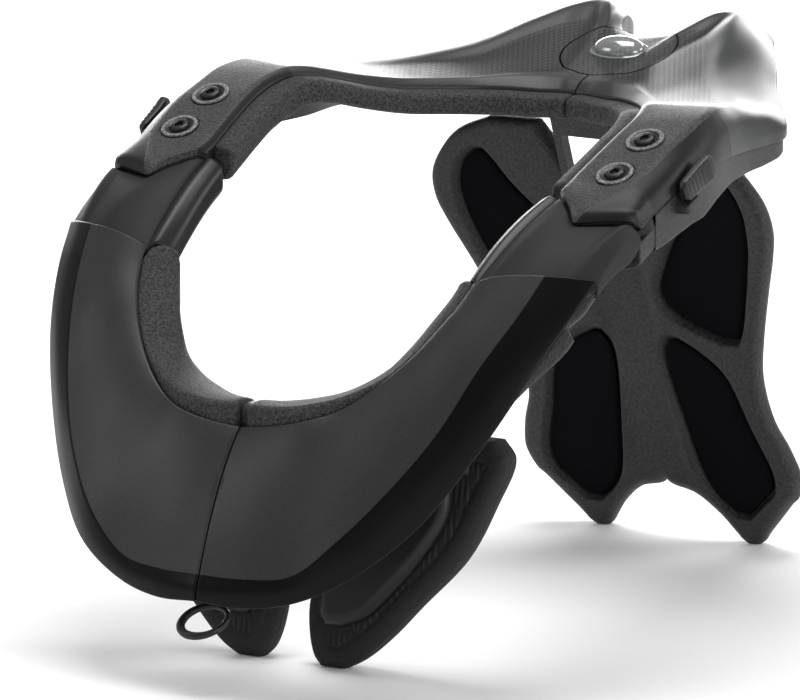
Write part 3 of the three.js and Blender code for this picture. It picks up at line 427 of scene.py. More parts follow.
def carve(obj, cutters, operation="DIFFERENCE"):
    """Cuts an object with closed bodies."""
    tools = [object_from(f"tool_{n}", [part]) for n, part in enumerate(cutters)]
    for tool in tools:
        cut = obj.modifiers.new("cut", "BOOLEAN")
        cut.operation = operation
        cut.solver = "EXACT"
        cut.use_self = True
        cut.object = tool
    solid = bpy.data.meshes.new_from_object(obj.evaluated_get(bpy.context.evaluated_depsgraph_get()))
    obj.modifiers.clear()
    obj.data = solid
    for tool in tools:
        bpy.data.objects.remove(tool)


def dress(obj, body, slot, nodes, sharp=38.0, pad=None):
    obj.data.shade_smooth()
    obj.data.set_sharp_from_angle(angle=math.radians(sharp))
    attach(obj, body)
    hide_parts(*nodes)


def piece(name, parts, body, slot, materials, cutters=(), **options):
    """Finished piece in the place of the node with its name."""
    obj = object_from(f"{name}_skin", parts, materials)
    if cutters:
        carve(obj, cutters)
    dress(obj, body, slot, [name], **options)


def pair(name, parts, body, slot, materials, cutters=(), **options):
    """Left piece from its parts, and the right piece as its mirror image."""
    left, right = body if isinstance(body, tuple) else (body, body)
    piece(f"{name}_l", parts, left, slot, materials, cutters, **options)
    turned = [mirrored(part) for part in parts]
    holes = [mirrored(part) for part in cutters]
    piece(f"{name}_r", turned, right, slot, materials, holes, **options)


# Materials
BROAD_SCALE = 38.0
BUMP_DISTANCE = 0.0006
COAT_ROUGHNESS = 0.12
ROUGHNESS_SPREAD = 0.07
TINT_LOW, TINT_HIGH = 0.35, 0.68
WEAVE_STRETCH = (1.0, 0.6, 1.0)
WEAVE_TURN = (0.0, 0.0, math.radians(45))


def feed(node, inputs):
    """Gives inputs of a node their values, or links them to the outputs that feed them."""
    for name, value in inputs.items():
        if isinstance(value, bpy.types.NodeSocket):
            node.id_data.links.new(value, node.inputs[name])
        else:
            node.inputs[name].default_value = value
    return node


def material(name, colour, roughness, grain=1500, relief=0.12, variation=0.25, metallic=0.0,
             specular=0.4, weave=0, weave_relief=0.3, fleck_and_glint=0.0, coat=0.0):
    """Procedural colour and relief. grain and weave are features for each metre; the bright end of the
    colour can be lifted into light specks, which on the cover are painted glints of the grain.
    """
    item = bpy.data.materials.new(name)
    item.use_nodes = True
    nodes = item.node_tree.nodes
    place = nodes.new("ShaderNodeTexCoord").outputs["Object"]
    fine = feed(nodes.new("ShaderNodeTexNoise"), {
        "Vector": place, "Scale": grain, "Detail": 4.0, "Roughness": 0.6,
    }).outputs["Fac"]
    broad = feed(nodes.new("ShaderNodeTexNoise"), {"Vector": place, "Scale": BROAD_SCALE, "Detail": 3.0})
    height = shade = fine
    if weave:
        plan = feed(nodes.new("ShaderNodeMapping"), {
            "Vector": place, "Scale": WEAVE_STRETCH, "Rotation": WEAVE_TURN,
        })
        cells = nodes.new("ShaderNodeTexVoronoi")
        cells.voronoi_dimensions = "2D"
        feed(cells, {"Vector": plan.outputs["Vector"], "Scale": weave, "Randomness": 0.0})
        shade = cells.outputs["Distance"]
        both = nodes.new("ShaderNodeMath")
        both.operation = "MULTIPLY_ADD"
        height = feed(both, {0: shade, 1: -weave_relief * 3.0, 2: fine}).outputs["Value"]
    bump = feed(nodes.new("ShaderNodeBump"), {
        "Strength": relief, "Distance": BUMP_DISTANCE, "Height": height,
    })
    tint = feed(nodes.new("ShaderNodeValToRGB"), {"Fac": shade})
    low, high = tint.color_ramp.elements
    low.position, high.position = TINT_LOW, TINT_HIGH
    low.color = (*(c * (1 - variation) for c in colour), 1)
    # The bright end of the colour is lifted into light specks; on the cover these are painted glints of the
    # grain, elsewhere light flecks.
    high.color = (*(min(c * (1 + variation) + fleck_and_glint, 1.0) for c in colour), 1)
    rough = feed(nodes.new("ShaderNodeMapRange"), {
        "Value": broad.outputs["Fac"],
        "To Min": max(roughness - ROUGHNESS_SPREAD, 0.03),
        "To Max": min(roughness + ROUGHNESS_SPREAD, 1.0),
    })
    feed(nodes["Principled BSDF"], {
        "Base Color": tint.outputs["Color"], "Roughness": rough.outputs["Result"],
        "Normal": bump.outputs["Normal"], "Metallic": metallic, "Specular IOR Level": specular,
        "Coat Weight": coat, "Coat Roughness": COAT_ROUGHNESS,
    })
    return item


SATIN = material("satin_shell", (0.021, 0.0215, 0.0225), 0.46, relief=0.06, specular=0.38)
DARK = material("flank_satin", (0.0020, 0.0020, 0.0024), 0.34, relief=0.05, specular=0.14)
# The cover's light specks are painted glints of its grain, not flecks in the plastic.
COVER = material("cover_grain_glint", (0.013, 0.014, 0.015), 0.52, 1150, 0.7, variation=0.7, fleck_and_glint=0.05,
                 specular=0.35)
FLANK = material("cover_flank", (0.009, 0.0095, 0.010), 0.44, 1600, specular=0.25)
BORDER = material("wing_border", (0.018, 0.019, 0.020), 0.42, 1600, specular=0.42)
WEAVE = material("wing_weave", (0.034, 0.0355, 0.037), 0.42, relief=0.30, variation=0.75, weave=640,
                 weave_relief=0.4, specular=0.35)
ARM = material("arm_plastic", (0.011, 0.011, 0.013), 0.62, specular=0.28)
FRAME = material("frame_grain", (0.016, 0.016, 0.017), 0.50, 1300, 0.6, variation=0.5, fleck_and_glint=0.015)
FOAM = material("foam", (0.006, 0.006, 0.006), 0.66, 1100, 1.0, variation=0.8, fleck_and_glint=0.055)
RUBBER = material("rubber", (0.007, 0.007, 0.0075), 0.40, 1400, 0.06)
PLATE = material("soft_plate", (0.0165, 0.017, 0.0175), 0.58, 900, 0.8, variation=0.5, fleck_and_glint=0.008)
INSERT = material("insert_foam", (0.0022, 0.0022, 0.0034), 0.90, relief=0.25, specular=0.08)
CLOTH = material("pad_cloth", (0.017, 0.017, 0.018), 0.75, 1200, 0.4, specular=0.3)
MESH = material("pad_mesh", (0.020, 0.020, 0.021), 0.70, 1400, 0.7, variation=0.7, weave=620, specular=0.3)
WASHER = material("washer_metal", (0.18, 0.18, 0.19), 0.42, 1300, 0.9, variation=0.75, metallic=0.7,
                  fleck_and_glint=0.08)
SCREW = material("screw_metal", (0.020, 0.020, 0.022), 0.35, relief=0.08, metallic=0.4)
GLOSS = material("dome_gloss", (0.30, 0.305, 0.31), 0.18, 900, 0.02, metallic=0.35, coat=0.6)

# Frame of an arm: origin at the front screw, u out to the side, v up the slope, w square to the top
FRONT_SCREW = at((0.824, 0.186, 0.871))
REAR_SCREW = at((0.824, 0.245, 0.9172))
SLOPE = math.atan2(REAR_SCREW[2] - FRONT_SCREW[2], REAR_SCREW[1] - FRONT_SCREW[1])
COS, SIN = math.cos(SLOPE), math.sin(SLOPE)
ARM_HALF = 0.18 * HALF_WIDTH


def arm_point(u, v, w):
    return FRONT_SCREW + np.array([u, v * COS - w * SIN, v * SIN + w * COS])


def arm_local(point):
    d = point - FRONT_SCREW
    return np.array([d[0], d[1] * COS + d[2] * SIN, -d[1] * SIN + d[2] * COS])


def drop_to(point, depth):
    u, v, _ = arm_local(point)
    return arm_point(u, v, -depth)


# Shift of the shared frame along the length, from the place of one washer
washer_low, washer_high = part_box("washer_front_l")
WASHER_LEVEL = -RECESS_DEPTH + CLEARANCE + WASHER_WALL / 2
SHIFT = np.array([0.0, (washer_low[1] + washer_high[1]) / 2 - arm_point(0, 0, WASHER_LEVEL)[1] * MM, 0.0])

TONGUE_TOP = COVER_DEPTH + CLEARANCE
TONGUE_BOTTOM = TONGUE_TOP + TONGUE_WALL
SLOT_BOTTOM = TONGUE_BOTTOM + CLEARANCE
HINGE_U, HINGE_V = 0.68 * ARM_HALF, -0.58 * ARM_HALF
TONGUE_END = -0.40 * ARM_HALF
SLOT_END = TONGUE_END + TONGUE_END_GAP
BIB_STEPS = 88
REAR_STEPS = 150


# Bib
def bib_surface():
    a, b, c = (curve([at(row[key]) for row in BIB], BIB_STEPS) for key in "abc")
    inner = [a + (b - a) * share for share in (0.12, 0.36, 0.68)]
    grid = np.stack([a, *inner, b, (b + c) / 2, c], axis=1)
    crown = np.array([0, 0.55, 1, 0.8, 0, 0.25, 0])[None, :, None]
    surface = grid + (offset(grid, SHELL_CROWN) - grid) * crown
    surface[0, :, 0] = SEAM / 2
    return surface


SURFACE = bib_surface()
NECK = curve([at(row["p"]) for row in BIB], BIB_STEPS)


def bib_inside():
    inside = offset(SURFACE, -SHELL_WALL)
    inside[0, :, 0] = SEAM / 2
    upright = SURFACE - (0, 0, 1.3 * SHELL_WALL)
    share = smoothstep(np.arange(BIB_STEPS + 1), BIB_STEPS - 5, BIB_STEPS)[:, None, None]
    return inside * (1 - share) + upright * share


INSIDE = bib_inside()
NECKWARD = (NECK - SURFACE[:, 0]) * (1, 1, 0)
NECKWARD /= np.linalg.norm(NECKWARD, axis=1, keepdims=True)


def bib_shell():
    rings = []
    for top, low in zip(SURFACE, INSIDE):
        runs = [
            curve(top[:5], 20), curve(top[4:], 8), [top[6], low[6]],
            low[6:3:-1], low[4::-1], [low[0], top[0]],
        ]
        ring, labels = ring_through(runs, [1.3, 0.9, 0.7, 0.8, 0.7, 1.1], [20, 8, 2, 4, 8, 2])
        rings.append(ring)
    return loft(rings, start=0.7, end=0.7, zone=lambda share, m: int(0.99 < labels[m] < 2.99))


def bib_frame():
    """Frame below the bib, with the grainy lip and its leaf outside the bib's outer edge."""
    gap = SHELL_WALL + FRAME_GAP
    top = offset(SURFACE, -gap)
    bottom = offset(SURFACE, -gap - FRAME_WALL)
    rings = []
    for n in range(BIB_STEPS - 1):
        share = n / BIB_STEPS
        lip = LIP_WIDTH * smoothstep(share, 0.86, 0.93)
        leaf = LEAF_WIDTH * smoothstep(share, 0.70, 0.84) * (1 - smoothstep(share, 0.85, 0.875))
        reach = -FRAME_INSET + (FRAME_INSET + 0.4) * smoothstep(share, 0.62, 0.74) + lip + leaf
        rows = []
        for layer in (top[n], bottom[n]):
            run = curve(layer, 24)
            run = run[(run - SURFACE[n, 0]) @ NECKWARD[n] < -CLEARANCE - 0.4]
            out = run[-1] - run[-4]
            tip = run[-1] + out / np.linalg.norm(out) * reach
            run = np.vstack([run[:-3], tip]) if reach < 0 else np.vstack([run, tip])
            rows.append(resample(run, 16))
        upper, lower = rows
        runs = [upper, [upper[-1], lower[-1]], lower[::-1], [lower[0], upper[0]]]
        rings.append(ring_through(runs, [1.2, 1.2, 1.0, 1.0], [16, 2, 16, 2])[0])
    rings[0][:, 0] = 0.0
    return loft(rings, end=0.8)


def web_between_pads():
    """Dark band of the frame that shows between the two front pads."""
    rings = []
    start, neck = SURFACE[0, 0], NECK[0]
    half = PAD_SEAM / 2 - CLEARANCE
    for x in (-half, 0.0, half):
        top = max(start[2], neck[2]) - 0.6
        corners = [
            (x, start[1] + 3.5, top), (x, neck[1] - 1.0, top),
            (x, neck[1] - 1.0, neck[2] - PAD_DEPTH + 2), (x, start[1] + 3.5, start[2] - PAD_DEPTH + 4),
        ]
        rings.append(rounded_polygon(corners, [4] * 4))
    return loft(rings)


CARRIER_END = (0.56 * HALF_WIDTH, 0.385 * HEIGHT)
CARRIER_HALF = (0.06 * HALF_WIDTH, 0.02 * HEIGHT)
CARRIER_TAPER = 1.2


def chest_carrier():
    """Link from the bib's underside down to a chest pad."""
    a, b = at(BIB[4]["a"]), at(BIB[4]["b"])
    inward = np.array([0, 1, -0.35]) / math.hypot(1, 0.35)
    start = a + (b - a) * 0.45 + inward * (SHELL_WALL + FRAME_GAP + FRAME_WALL / 4)
    x, z = CARRIER_END
    wide, high = CARRIER_HALF
    end = np.array([x, -CHEST_WALL / 2 + CHEST_LEAN * (z - high) - CLEARANCE, z])
    rings = []
    for share in np.linspace(0, 1, 5):
        middle = start + (end - start) * share
        taper = CARRIER_TAPER + (1 - CARRIER_TAPER) * share
        corners = [middle + (su * wide, 0, sv * high * taper) for su, sv in CORNERS[::-1]]
        rings.append(rounded_polygon(corners, [1.2] * 4))
    return loft(rings)


LOOP_CENTRE = at((0, -0.166, 0.123))


def loop_lug():
    """Post from the bib's frame down to the strap loop."""
    rear = LOOP_RADIUS * math.cos(LOOP_TILT) + 5.0
    up = LOOP_RADIUS * math.sin(LOOP_TILT) + 2.2
    rings = []
    for z, width in ((0.0, 3.0), (3.0, 3.5), (20.5, 3.5)):
        corners = [LOOP_CENTRE + (su * width, rear + sv * 3.0, up + z) for su, sv in CORNERS]
        rings.append(rounded_polygon(corners, [1.2] * 4))
    return loft(rings)


def front_pad():
    rings = []
    for n in range(BIB_STEPS + 1):
        flat = NECKWARD[n]
        edge = SURFACE[n, 0]
        near = edge + flat * PAD_GROOVE
        outer = edge + flat * (max(float(np.dot(INSIDE[n, 0] - edge, flat)), 0) - PAD_TUCK)
        under = edge - flat * 0.6
        low = min(INSIDE[n, 0, 2], edge[2])
        inner = NECK[n].copy()
        top = max(edge[2], inner[2]) + PAD_PROUD
        middle = (outer + inner) / 2
        corners = [
            (*near[:2], top - 0.6), (*middle[:2], top + 0.6), (*inner[:2], top - 1.6),
            (*inner[:2], inner[2] - PAD_DEPTH), (*under[:2], edge[2] - PAD_DEPTH),
            (*under[:2], low - 0.9), (*outer[:2], low - 0.5),
        ]
        ring = rounded_polygon(corners, [2.4, 8.0, PAD_ROUND, PAD_ROUND, 3.0, 0.4, 0.4], per_edge=3, arc=5)
        if ring[:, 0].min() > PAD_SEAM / 2 + 0.4:
            rings.append(ring)
    rings.insert(0, rings[0] * (0, 1, 1) + (PAD_SEAM / 2, 0, 0))
    return loft(rings, start=2.2, end=2.2)


# Arms
ARM_SHARES = (0, 0.14, 0.42, 0.62, 0.82, 1)
ARM_FLAT = (0.055, 0.94)


def point_along(run, share):
    return resample(np.array(run), 2, share * run_length(np.array(run)) * 0.99999, 0.0)[0]


def cover_front(gap, extra=0.0):
    return np.array([
        arm_point(across * ARM_HALF, along * ARM_HALF - gap, -(down * ARM_HALF + extra))
        for across, along, down in COVER_FRONT
    ])


def arm_surface(steps):
    end = cover_front(ARM_END_GAP, 0.05 * ARM_HALF + ARM_STEP)
    rim = np.array([point_along(SURFACE[-1], share) for share in ARM_SHARES])
    start = rim + (0, CLEARANCE + 0.3, -ARM_STEP)
    rows = []
    for t in np.linspace(0, 1, steps + 1):
        row = start + (end - start) * t
        row[:, 2] += 4 * t * (1 - t) * 0.012 * HEIGHT
        rows.append(row)
    return np.array(rows)


def side_arm():
    steps = 22
    rings = []
    for n, top in enumerate(arm_surface(steps)):
        share = n / steps
        low = top.copy()
        for m in range(6):
            edge = 0.85 if m in (0, 5) else 1.0
            low[m, 2] -= edge * ARM_DEPTH * (0.5 + 0.5 * share)
        deep = np.array([drop_to(p, TONGUE_BOTTOM + 1) for p in top])
        blend = smoothstep(share, 0.7, 1.0)
        low = low * (1 - blend) + deep * blend
        flat = curve(top[:5], 24) * (1 - share ** 2) + resample(top[:5], 25) * share ** 2
        runs = [flat, top[4:], [top[5], low[5]], low[::-1], [low[0], top[0]]]
        ring, labels = ring_through(runs, [1.2, 1.2, 1.6, 1.2, 0.9], [26, 4, 3, 14, 3])
        across = labels - np.floor(labels)
        sunk = (labels < 1) & (across >= ARM_FLAT[0]) & (across <= ARM_FLAT[1])
        ring[:, 2] -= np.where(sunk, ARM_SUNK, 0.0)
        rings.append(ring)
    return loft(rings, start=0.5, end=0.5)


def tongue():
    corner = 1.5
    root = -1.62 * ARM_HALF
    side = -0.60 * ARM_HALF
    outline = [
        (side, root * 0.86), (side, TONGUE_END - corner), (side + corner, TONGUE_END),
        (HINGE_U - HINGE_RADIUS, TONGUE_END),
    ]
    for angle in np.linspace(0.6 * math.pi, -0.25 * math.pi, 14):
        outline.append((HINGE_U + HINGE_RADIUS * math.cos(angle), HINGE_V + HINGE_RADIUS * math.sin(angle)))
    outline.append((0.45 * ARM_HALF, root * 0.82))
    return loft([[arm_point(u, v, level) for u, v in outline] for level in (-TONGUE_BOTTOM, -TONGUE_TOP)])


def sleeve():
    steps = 26
    edge = arm_surface(steps)[:, 0]
    start = at(BIB[-1]["a"])
    to_neck = (at(BIB[-1]["p"]) - start) * (1, 1, 0)
    to_neck /= np.linalg.norm(to_neck)
    rings = []
    for n, point in enumerate(edge):
        turn = np.interp(n / steps, (0, 1 / 3, 2 / 3, 1), (0, 0.5, 0.8, 1))
        flat = to_neck * (1 - turn) + np.array([-1, 0, 0]) * turn
        flat /= np.linalg.norm(flat)
        outer = point - flat * PAD_TUCK
        inner = outer + flat * (SLEEVE_WIDTH + PAD_TUCK)
        corners = [
            outer + (0, 0, -0.2), outer * 0.6 + inner * 0.4 + (0, 0, 2.0), inner + (0, 0, -1.4),
            inner + (0, 0, -SLEEVE_DEPTH), outer + (0, 0, -SLEEVE_DEPTH),
        ]
        rings.append(rounded_polygon(corners, [1.5, 5.0, 4.0, 4.0, 2.5], arc=5))
    rings[0] = rings[0] + (0, 0.5, 0)
    return loft(rings, start=1.2, end=1.2)


# Rear shells
FRONT_ROWS = 9
LIFT_SHARES = (0.45, 0.95)
DISC_SHARE = 0.45
COVER_SHARE = 0.27
WEAVE_SPAN = (0.05, 0.76)
DISH = 1.5


def seam_lift(share):
    """Rise of the tops towards the rear seam."""
    return SEAM_LIFT * smoothstep(share, *LIFT_SHARES)


def rear_rows():
    i, k, o = (curve([at(row[key]) for row in REAR], REAR_STEPS) for key in "iko")
    rows = np.stack([i, i + (k - i) * 0.09, i + (k - i) * 0.55, k, k + (o - k) * 0.55, o], axis=1)
    rows[:, 0, 2] -= RIM_DROP
    rows[:, :, 2] += seam_lift(np.linspace(0, 1, REAR_STEPS + 1))[:, None]
    rows[:, 4] += (0.012 * HALF_WIDTH, 0, 0.006 * HEIGHT)
    rows[-1, :, 0] = SEAM / 2
    return rows


ROWS = rear_rows()


def table_share(table, share):
    return float(np.interp(share * (len(REAR) - 1), range(len(table)), table))


def rear_under(row, arm):
    result = []
    for point in row:
        depth = max(COVER_DEPTH, -arm_local(point)[2] + 0.8)
        plate = point - (0, 0, PLATE_WALL)
        result.append(plate * (1 - arm) + drop_to(point, depth) * arm)
    return np.array(result)


def rear_sections():
    """Top and bottom rows from the cover's front edge to the rear seam, with their share."""
    front = cover_front(0.0)
    first = ROWS[0]
    down = np.array([0, SIN, -COS])
    sections = []
    for n in range(FRONT_ROWS):
        t = n / FRONT_ROWS
        top = front + (first - front) * t
        chamfer = COVER_CHAMFER * max(1 - n / 1.6, 0.0) ** 1.5
        sections.append((top + down * chamfer, rear_under(top, 1.0), -1.0 + t))
    for n, top in enumerate(ROWS):
        share = n / REAR_STEPS
        level = top - (0, 0, seam_lift(share))
        sections.append((top, rear_under(level, table_share(ARM_BLEND, share)), share))
    return sections


SECTIONS = rear_sections()


def shell_rings(sections):
    rings = []
    for top, low, share in sections:
        plateau = curve(top[1:4], 28)
        across = np.linspace(0, 1, 29)
        dish = DISH * smoothstep(share, 0.42, 0.62) * (1 - smoothstep(share, 0.80, 0.93))
        width = smoothstep(across, 0.02, 0.12) * (1 - smoothstep(across, 0.70, 0.93))
        plateau[:, 2] -= dish * width
        runs = [
            top[:2], plateau, curve(top[3:], 10), [top[5], low[5]],
            low[::-1], [low[0], top[0]],
        ]
        corner = 1.6 + 1.4 * smoothstep(share, 0.5, 0.7)
        ring, labels = ring_through(runs, [1.3, corner, 1.4, 1.2, 1.0, 0.9], [2, 30, 10, 3, 14, 3])
        rings.append(ring)
    return rings, labels


def rear_shell():
    rings, labels = shell_rings(SECTIONS)
    total = len(rings) - 1

    def zone(place, m):
        cover = (place * total - FRONT_ROWS) / REAR_STEPS < COVER_SHARE
        if not 0.99 < labels[m] < 2.0:
            return 1 if cover else 3
        weave = WEAVE_SPAN[0] < labels[m] - 1 < WEAVE_SPAN[1]
        return 0 if cover else 2 if weave else 3

    return loft(rings, start=0.7, end=0.4, zone=zone)


def arm_place(u0, v0, w0):
    return lambda x, y, z: arm_point(u0 + x, v0 + y, w0 + z)


def recess(v):
    place = arm_place(0, v, 0)
    radius = WASHER_RADIUS + RECESS_GAP
    bore = SHANK_RADIUS + CLEARANCE
    return lathe([
        (radius + 0.9, 1.0, 0), (radius + 0.5, 0.02, 0), (radius, -0.45, 0), (radius, -RECESS_DEPTH, 0),
        (bore, -RECESS_DEPTH, 0), (bore, -16.0, 0),
    ], 64, place)


def disc_place():
    """Frame of the disc on the wings' surface at the seam."""
    line = curve(ROWS[-1][1:4], 28)
    low, high = (float(np.interp(DISC_Y + step, line[:, 1], line[:, 2])) for step in (-6.0, 6.0))
    slope = math.atan2(high - low, 12.0)
    centre = np.array([0.0, DISC_Y, (low + high) / 2])
    c, s = math.cos(slope), math.sin(slope)
    return lambda x, y, z: centre + np.array([x, y * c - z * s, y * s + z * c])


DISC = disc_place()


def disc_cut(radius):
    return lathe([(radius, -DISC_CUT, 0), (radius, DISC_CUT, 0)], 128, DISC)


def rear_disc():
    """Disc in line with the wings: their own surface, to be cut to a round outline."""
    near, _ = shell_rings([section for section in SECTIONS if section[2] > DISC_SHARE])
    middle = near[-1] * (0, 1, 1)
    return loft(near[:-1] + [middle] + [ring * (-1, 1, 1) for ring in near[-2::-1]])


def emblem_dome():
    profile = [(1.0, -1.5), (1.0, 0.4), (0.97, 0.6), (0.92, 0.6), (0.89, 0.35), (0.86, 0.5)]
    profile += [(0.86 * math.cos(t), 0.5 + DOME_HEIGHT * math.sin(t)) for t in np.linspace(0.12, 1.45, 14)]
    rings = []
    for share, height in profile:
        rings.append(np.array([
            DISC(share * DOME_LENGTH / 2 * math.cos(t), share * DOME_WIDTH / 2 * math.sin(t), height)
            for t in full_turn(72)
        ]))
    return loft(rings)


BODY_ACROSS = np.array((0.086, 0.32, 0.74, 1.04)) * 0.93
BODY_FULL = (0.55, 0.8, 1.0, 1.0)


def rear_frame():
    """Body below the cover and the wing, open at the front for the tongue."""
    inset = [np.array([point_along(low, share) for share in BODY_ACROSS]) for _, low, _ in SECTIONS]
    front = np.array([drop_to(p, SLOT_BOTTOM) for p in inset[0]])
    slot = np.array([arm_point(arm_local(p)[0], SLOT_END, -SLOT_BOTTOM) for p in inset[FRONT_ROWS]])
    levels = [
        (front + (slot - front) * t, table_share(BODY_DEPTH, 0), SLOT_BOTTOM - TONGUE_TOP)
        for t in np.linspace(0, 1, 10)
    ]
    for row, section in list(zip(inset, SECTIONS))[FRONT_ROWS + 2:]:
        levels.append((row - (0, 0, FRAME_DROP), table_share(BODY_DEPTH, section[2]), 0.0))
    rings = []
    for top, depth, taken in levels:
        low = top.copy()
        for m, part in enumerate(BODY_FULL):
            low[m, 2] -= max(part * depth * HEIGHT - taken, FRAME_LEAST)
        runs = [top, [top[3], low[3]], curve(low[::-1], 12), [low[0], top[0]]]
        rings.append(ring_through(runs, [0.8, 1.8, 1.8, 0.8], [10, 3, 12, 3])[0])
    rings[-1][:, 0] = SEAM / 2
    return loft(rings, start=0.6, end=0.4)


LEVER_U, LEVER_V, LEVER_W = 1.1 * ARM_HALF, 0.36 * ARM_HALF, -0.72 * ARM_HALF


def lever_ledge():
    half = 0.21 * ARM_HALF
    u, v = LEVER_U - 0.1 * ARM_HALF, LEVER_V + 1
    rings = []
    for w in (LEVER_W - CLEARANCE - 3.5, LEVER_W - CLEARANCE):
        corners = [arm_point(u + su * half, v + sv * half, w) for su, sv in CORNERS]
        rings.append(rounded_polygon(corners, [1.5] * 4))
    return loft(rings, start=0.5, end=0.5)


def lever():
    """Ribbed finger along the cover's flank."""
    rings = []
    for t in np.linspace(0, 1, 74):
        v = LEVER_V - 1.6 + t * (LEVER_LENGTH + 1.6)
        bend = np.interp(t, (0, 0.55, 0.92, 1), (0, 0.1, 1.1, 0.6))
        half = np.interp(t, (0, 0.08, 0.5, 0.8, 0.94, 1), (1.2, 1.9, 2.1, 2.4, 1.9, 0.7))
        rib = 0.55 * abs(math.sin(t * math.pi * 9)) if t < 0.62 else 0.0
        low = LEVER_W + np.interp(t, (0, 0.1, 0.8, 1), (1.5, 0, 0, 1.5))
        high = LEVER_W + np.interp(t, (0, 0.1, 0.6, 0.9, 1), (6.5, 8.0, 8.6, LEVER_HEIGHT, 7.0))
        u = LEVER_U + bend
        corners = [
            arm_point(u - half, v, low), arm_point(u + half, v, low),
            arm_point(u + half - 0.35 + rib, v, high), arm_point(u - half + 0.5, v, high),
        ]
        rings.append(rounded_polygon(corners, [0.8, 0.9, 1.2, 0.9], per_edge=3))
    return loft(rings)


def rear_pad():
    edge = ROWS[:, 0]
    rings = []
    for n, point in enumerate(edge):
        along = edge[min(n + 1, REAR_STEPS)] - edge[max(n - 1, 0)]
        along = along * (1, 1, 0) / np.linalg.norm(along[:2])
        flat = np.array([-along[1], along[0], 0])
        outer = point - flat * PAD_TUCK
        inner = outer + flat * (REAR_PAD_WIDTH + PAD_TUCK)
        share = min(2 * table_share(ARM_BLEND, n / REAR_STEPS), 1)
        upper = REAR_PAD_TUCK
        lower = upper + REAR_PAD_DEPTH_BACK + (REAR_PAD_DEPTH - REAR_PAD_DEPTH_BACK) * share
        corners = [
            outer - (0, 0, upper + 0.4), (outer * 0.6 + inner * 0.4) - (0, 0, upper),
            inner - (0, 0, upper + 1.2), inner - (0, 0, lower - 0.6), outer - (0, 0, lower),
        ]
        rings.append(rounded_polygon(corners, [1.4, 4.0, 3.8, 4.0, 2.0], arc=5))
    rings = [ring for ring in rings if ring[:, 0].min() > SEAM / 2 + 0.4]
    rings.append(rings[-1] * (0, 1, 1) + (SEAM / 2, 0, 0))
    return loft(rings, start=2.0, end=1.6)


def washer(v):
    place = arm_place(0, v, -RECESS_DEPTH + CLEARANCE)
    top = WASHER_WALL
    profile = [
        (WASHER_BORE, 0, 0), (WASHER_RADIUS - 0.2, 0, 0), (WASHER_RADIUS, 0.2, 0),
        (WASHER_RADIUS, top - 0.25, 0), (WASHER_RADIUS - 0.25, top, 0), (6.2, top, 0),
        (5.5, top - 0.1, 0), (4.8, top - 0.5, 0),
        (WASHER_BORE, top - 0.5, 0), (WASHER_BORE, 0, 0),
    ]
    vertices, faces, _ = lathe(profile, 64, place)
    zones = [1 if n // 64 >= 6 else 0 for n in range(len(faces) - 2)]
    return vertices, faces[:-2], zones


def screw(v):
    place = arm_place(0, v, -RECESS_DEPTH + CLEARANCE)
    high = HEAD_HEIGHT
    profile = [
        (SHANK_RADIUS, high / 2 - SCREW_LENGTH, 0), (SHANK_RADIUS, 0, 0), (HEAD_RADIUS, 0, 0),
        (HEAD_RADIUS, high - 0.7, 0), (HEAD_RADIUS - 0.25, high - 0.25, 0), (HEAD_RADIUS - 0.8, high, 0),
        (SOCKET_RADIUS + 0.35, high, 0), (SOCKET_RADIUS, high - 0.2, 6),
        (SOCKET_RADIUS, high - SOCKET_DEPTH, 6),
    ]
    return lathe(profile, 60, place)


# Height fields of the back plate and the chest pads
def outline_curve(table, steps):
    return curve([(inner * HALF_WIDTH, outer * HALF_WIDTH, z * HEIGHT) for z, inner, outer in table], steps)


def outline_polygon(table, steps=60):
    rows = outline_curve(table, steps)
    outer = [(row[1], row[2]) for row in rows]
    inner = [(row[0], row[2]) for row in rows[::-1]]
    return np.array(outer + inner)


def distance_inside(points, polygon):
    """Distance of points to a polygon's edge, above zero inside."""
    a = polygon
    b = np.roll(polygon, -1, axis=0)
    edge = b - a
    length = np.maximum((edge ** 2).sum(axis=1), 1e-12)
    best = np.full(len(points), 1e9)
    inside = np.zeros(len(points), bool)
    x, y = points[:, 0], points[:, 1]
    for p, q, e, l in zip(a, b, edge, length):
        t = np.clip(((points - p) @ e) / l, 0, 1)
        gap = points - (p + t[:, None] * e)
        best = np.minimum(best, (gap ** 2).sum(axis=1))
        crosses = (p[1] > y) != (q[1] > y)
        with np.errstate(divide="ignore", invalid="ignore"):
            reach = (q[0] - p[0]) * (y - p[1]) / (q[1] - p[1]) + p[0]
        inside ^= crosses & (x < reach)
    return np.sqrt(best) * np.where(inside, 1, -1)


def back_depth(x, z):
    across = x / (0.65 * HALF_WIDTH)
    return 0.745 * LENGTH - BACK_LEAN * z - BACK_WRAP * across ** 2 * (z / (0.75 * HEIGHT))


def edge_round(distance, radius):
    """Fall of a surface near its rounded edge."""
    d = np.clip(distance, 0, radius)
    return radius - np.sqrt(np.maximum(radius ** 2 - (radius - d) ** 2, 0))


def field_points(table, rows, cols, crowd=0.0):
    line = outline_curve(table, rows)
    share = np.linspace(0, 1, cols + 1)
    share = share - crowd * np.sin(2 * math.pi * share) / (2 * math.pi)
    inner, outer, z = (line[:, k][:, None] for k in range(3))
    return inner + (outer - inner) * share[None, :], np.repeat(z, cols + 1, axis=1)


def field_distance(x, z, polygon):
    flat = np.stack([x.ravel(), z.ravel()], axis=1)
    return distance_inside(flat, polygon).reshape(x.shape)


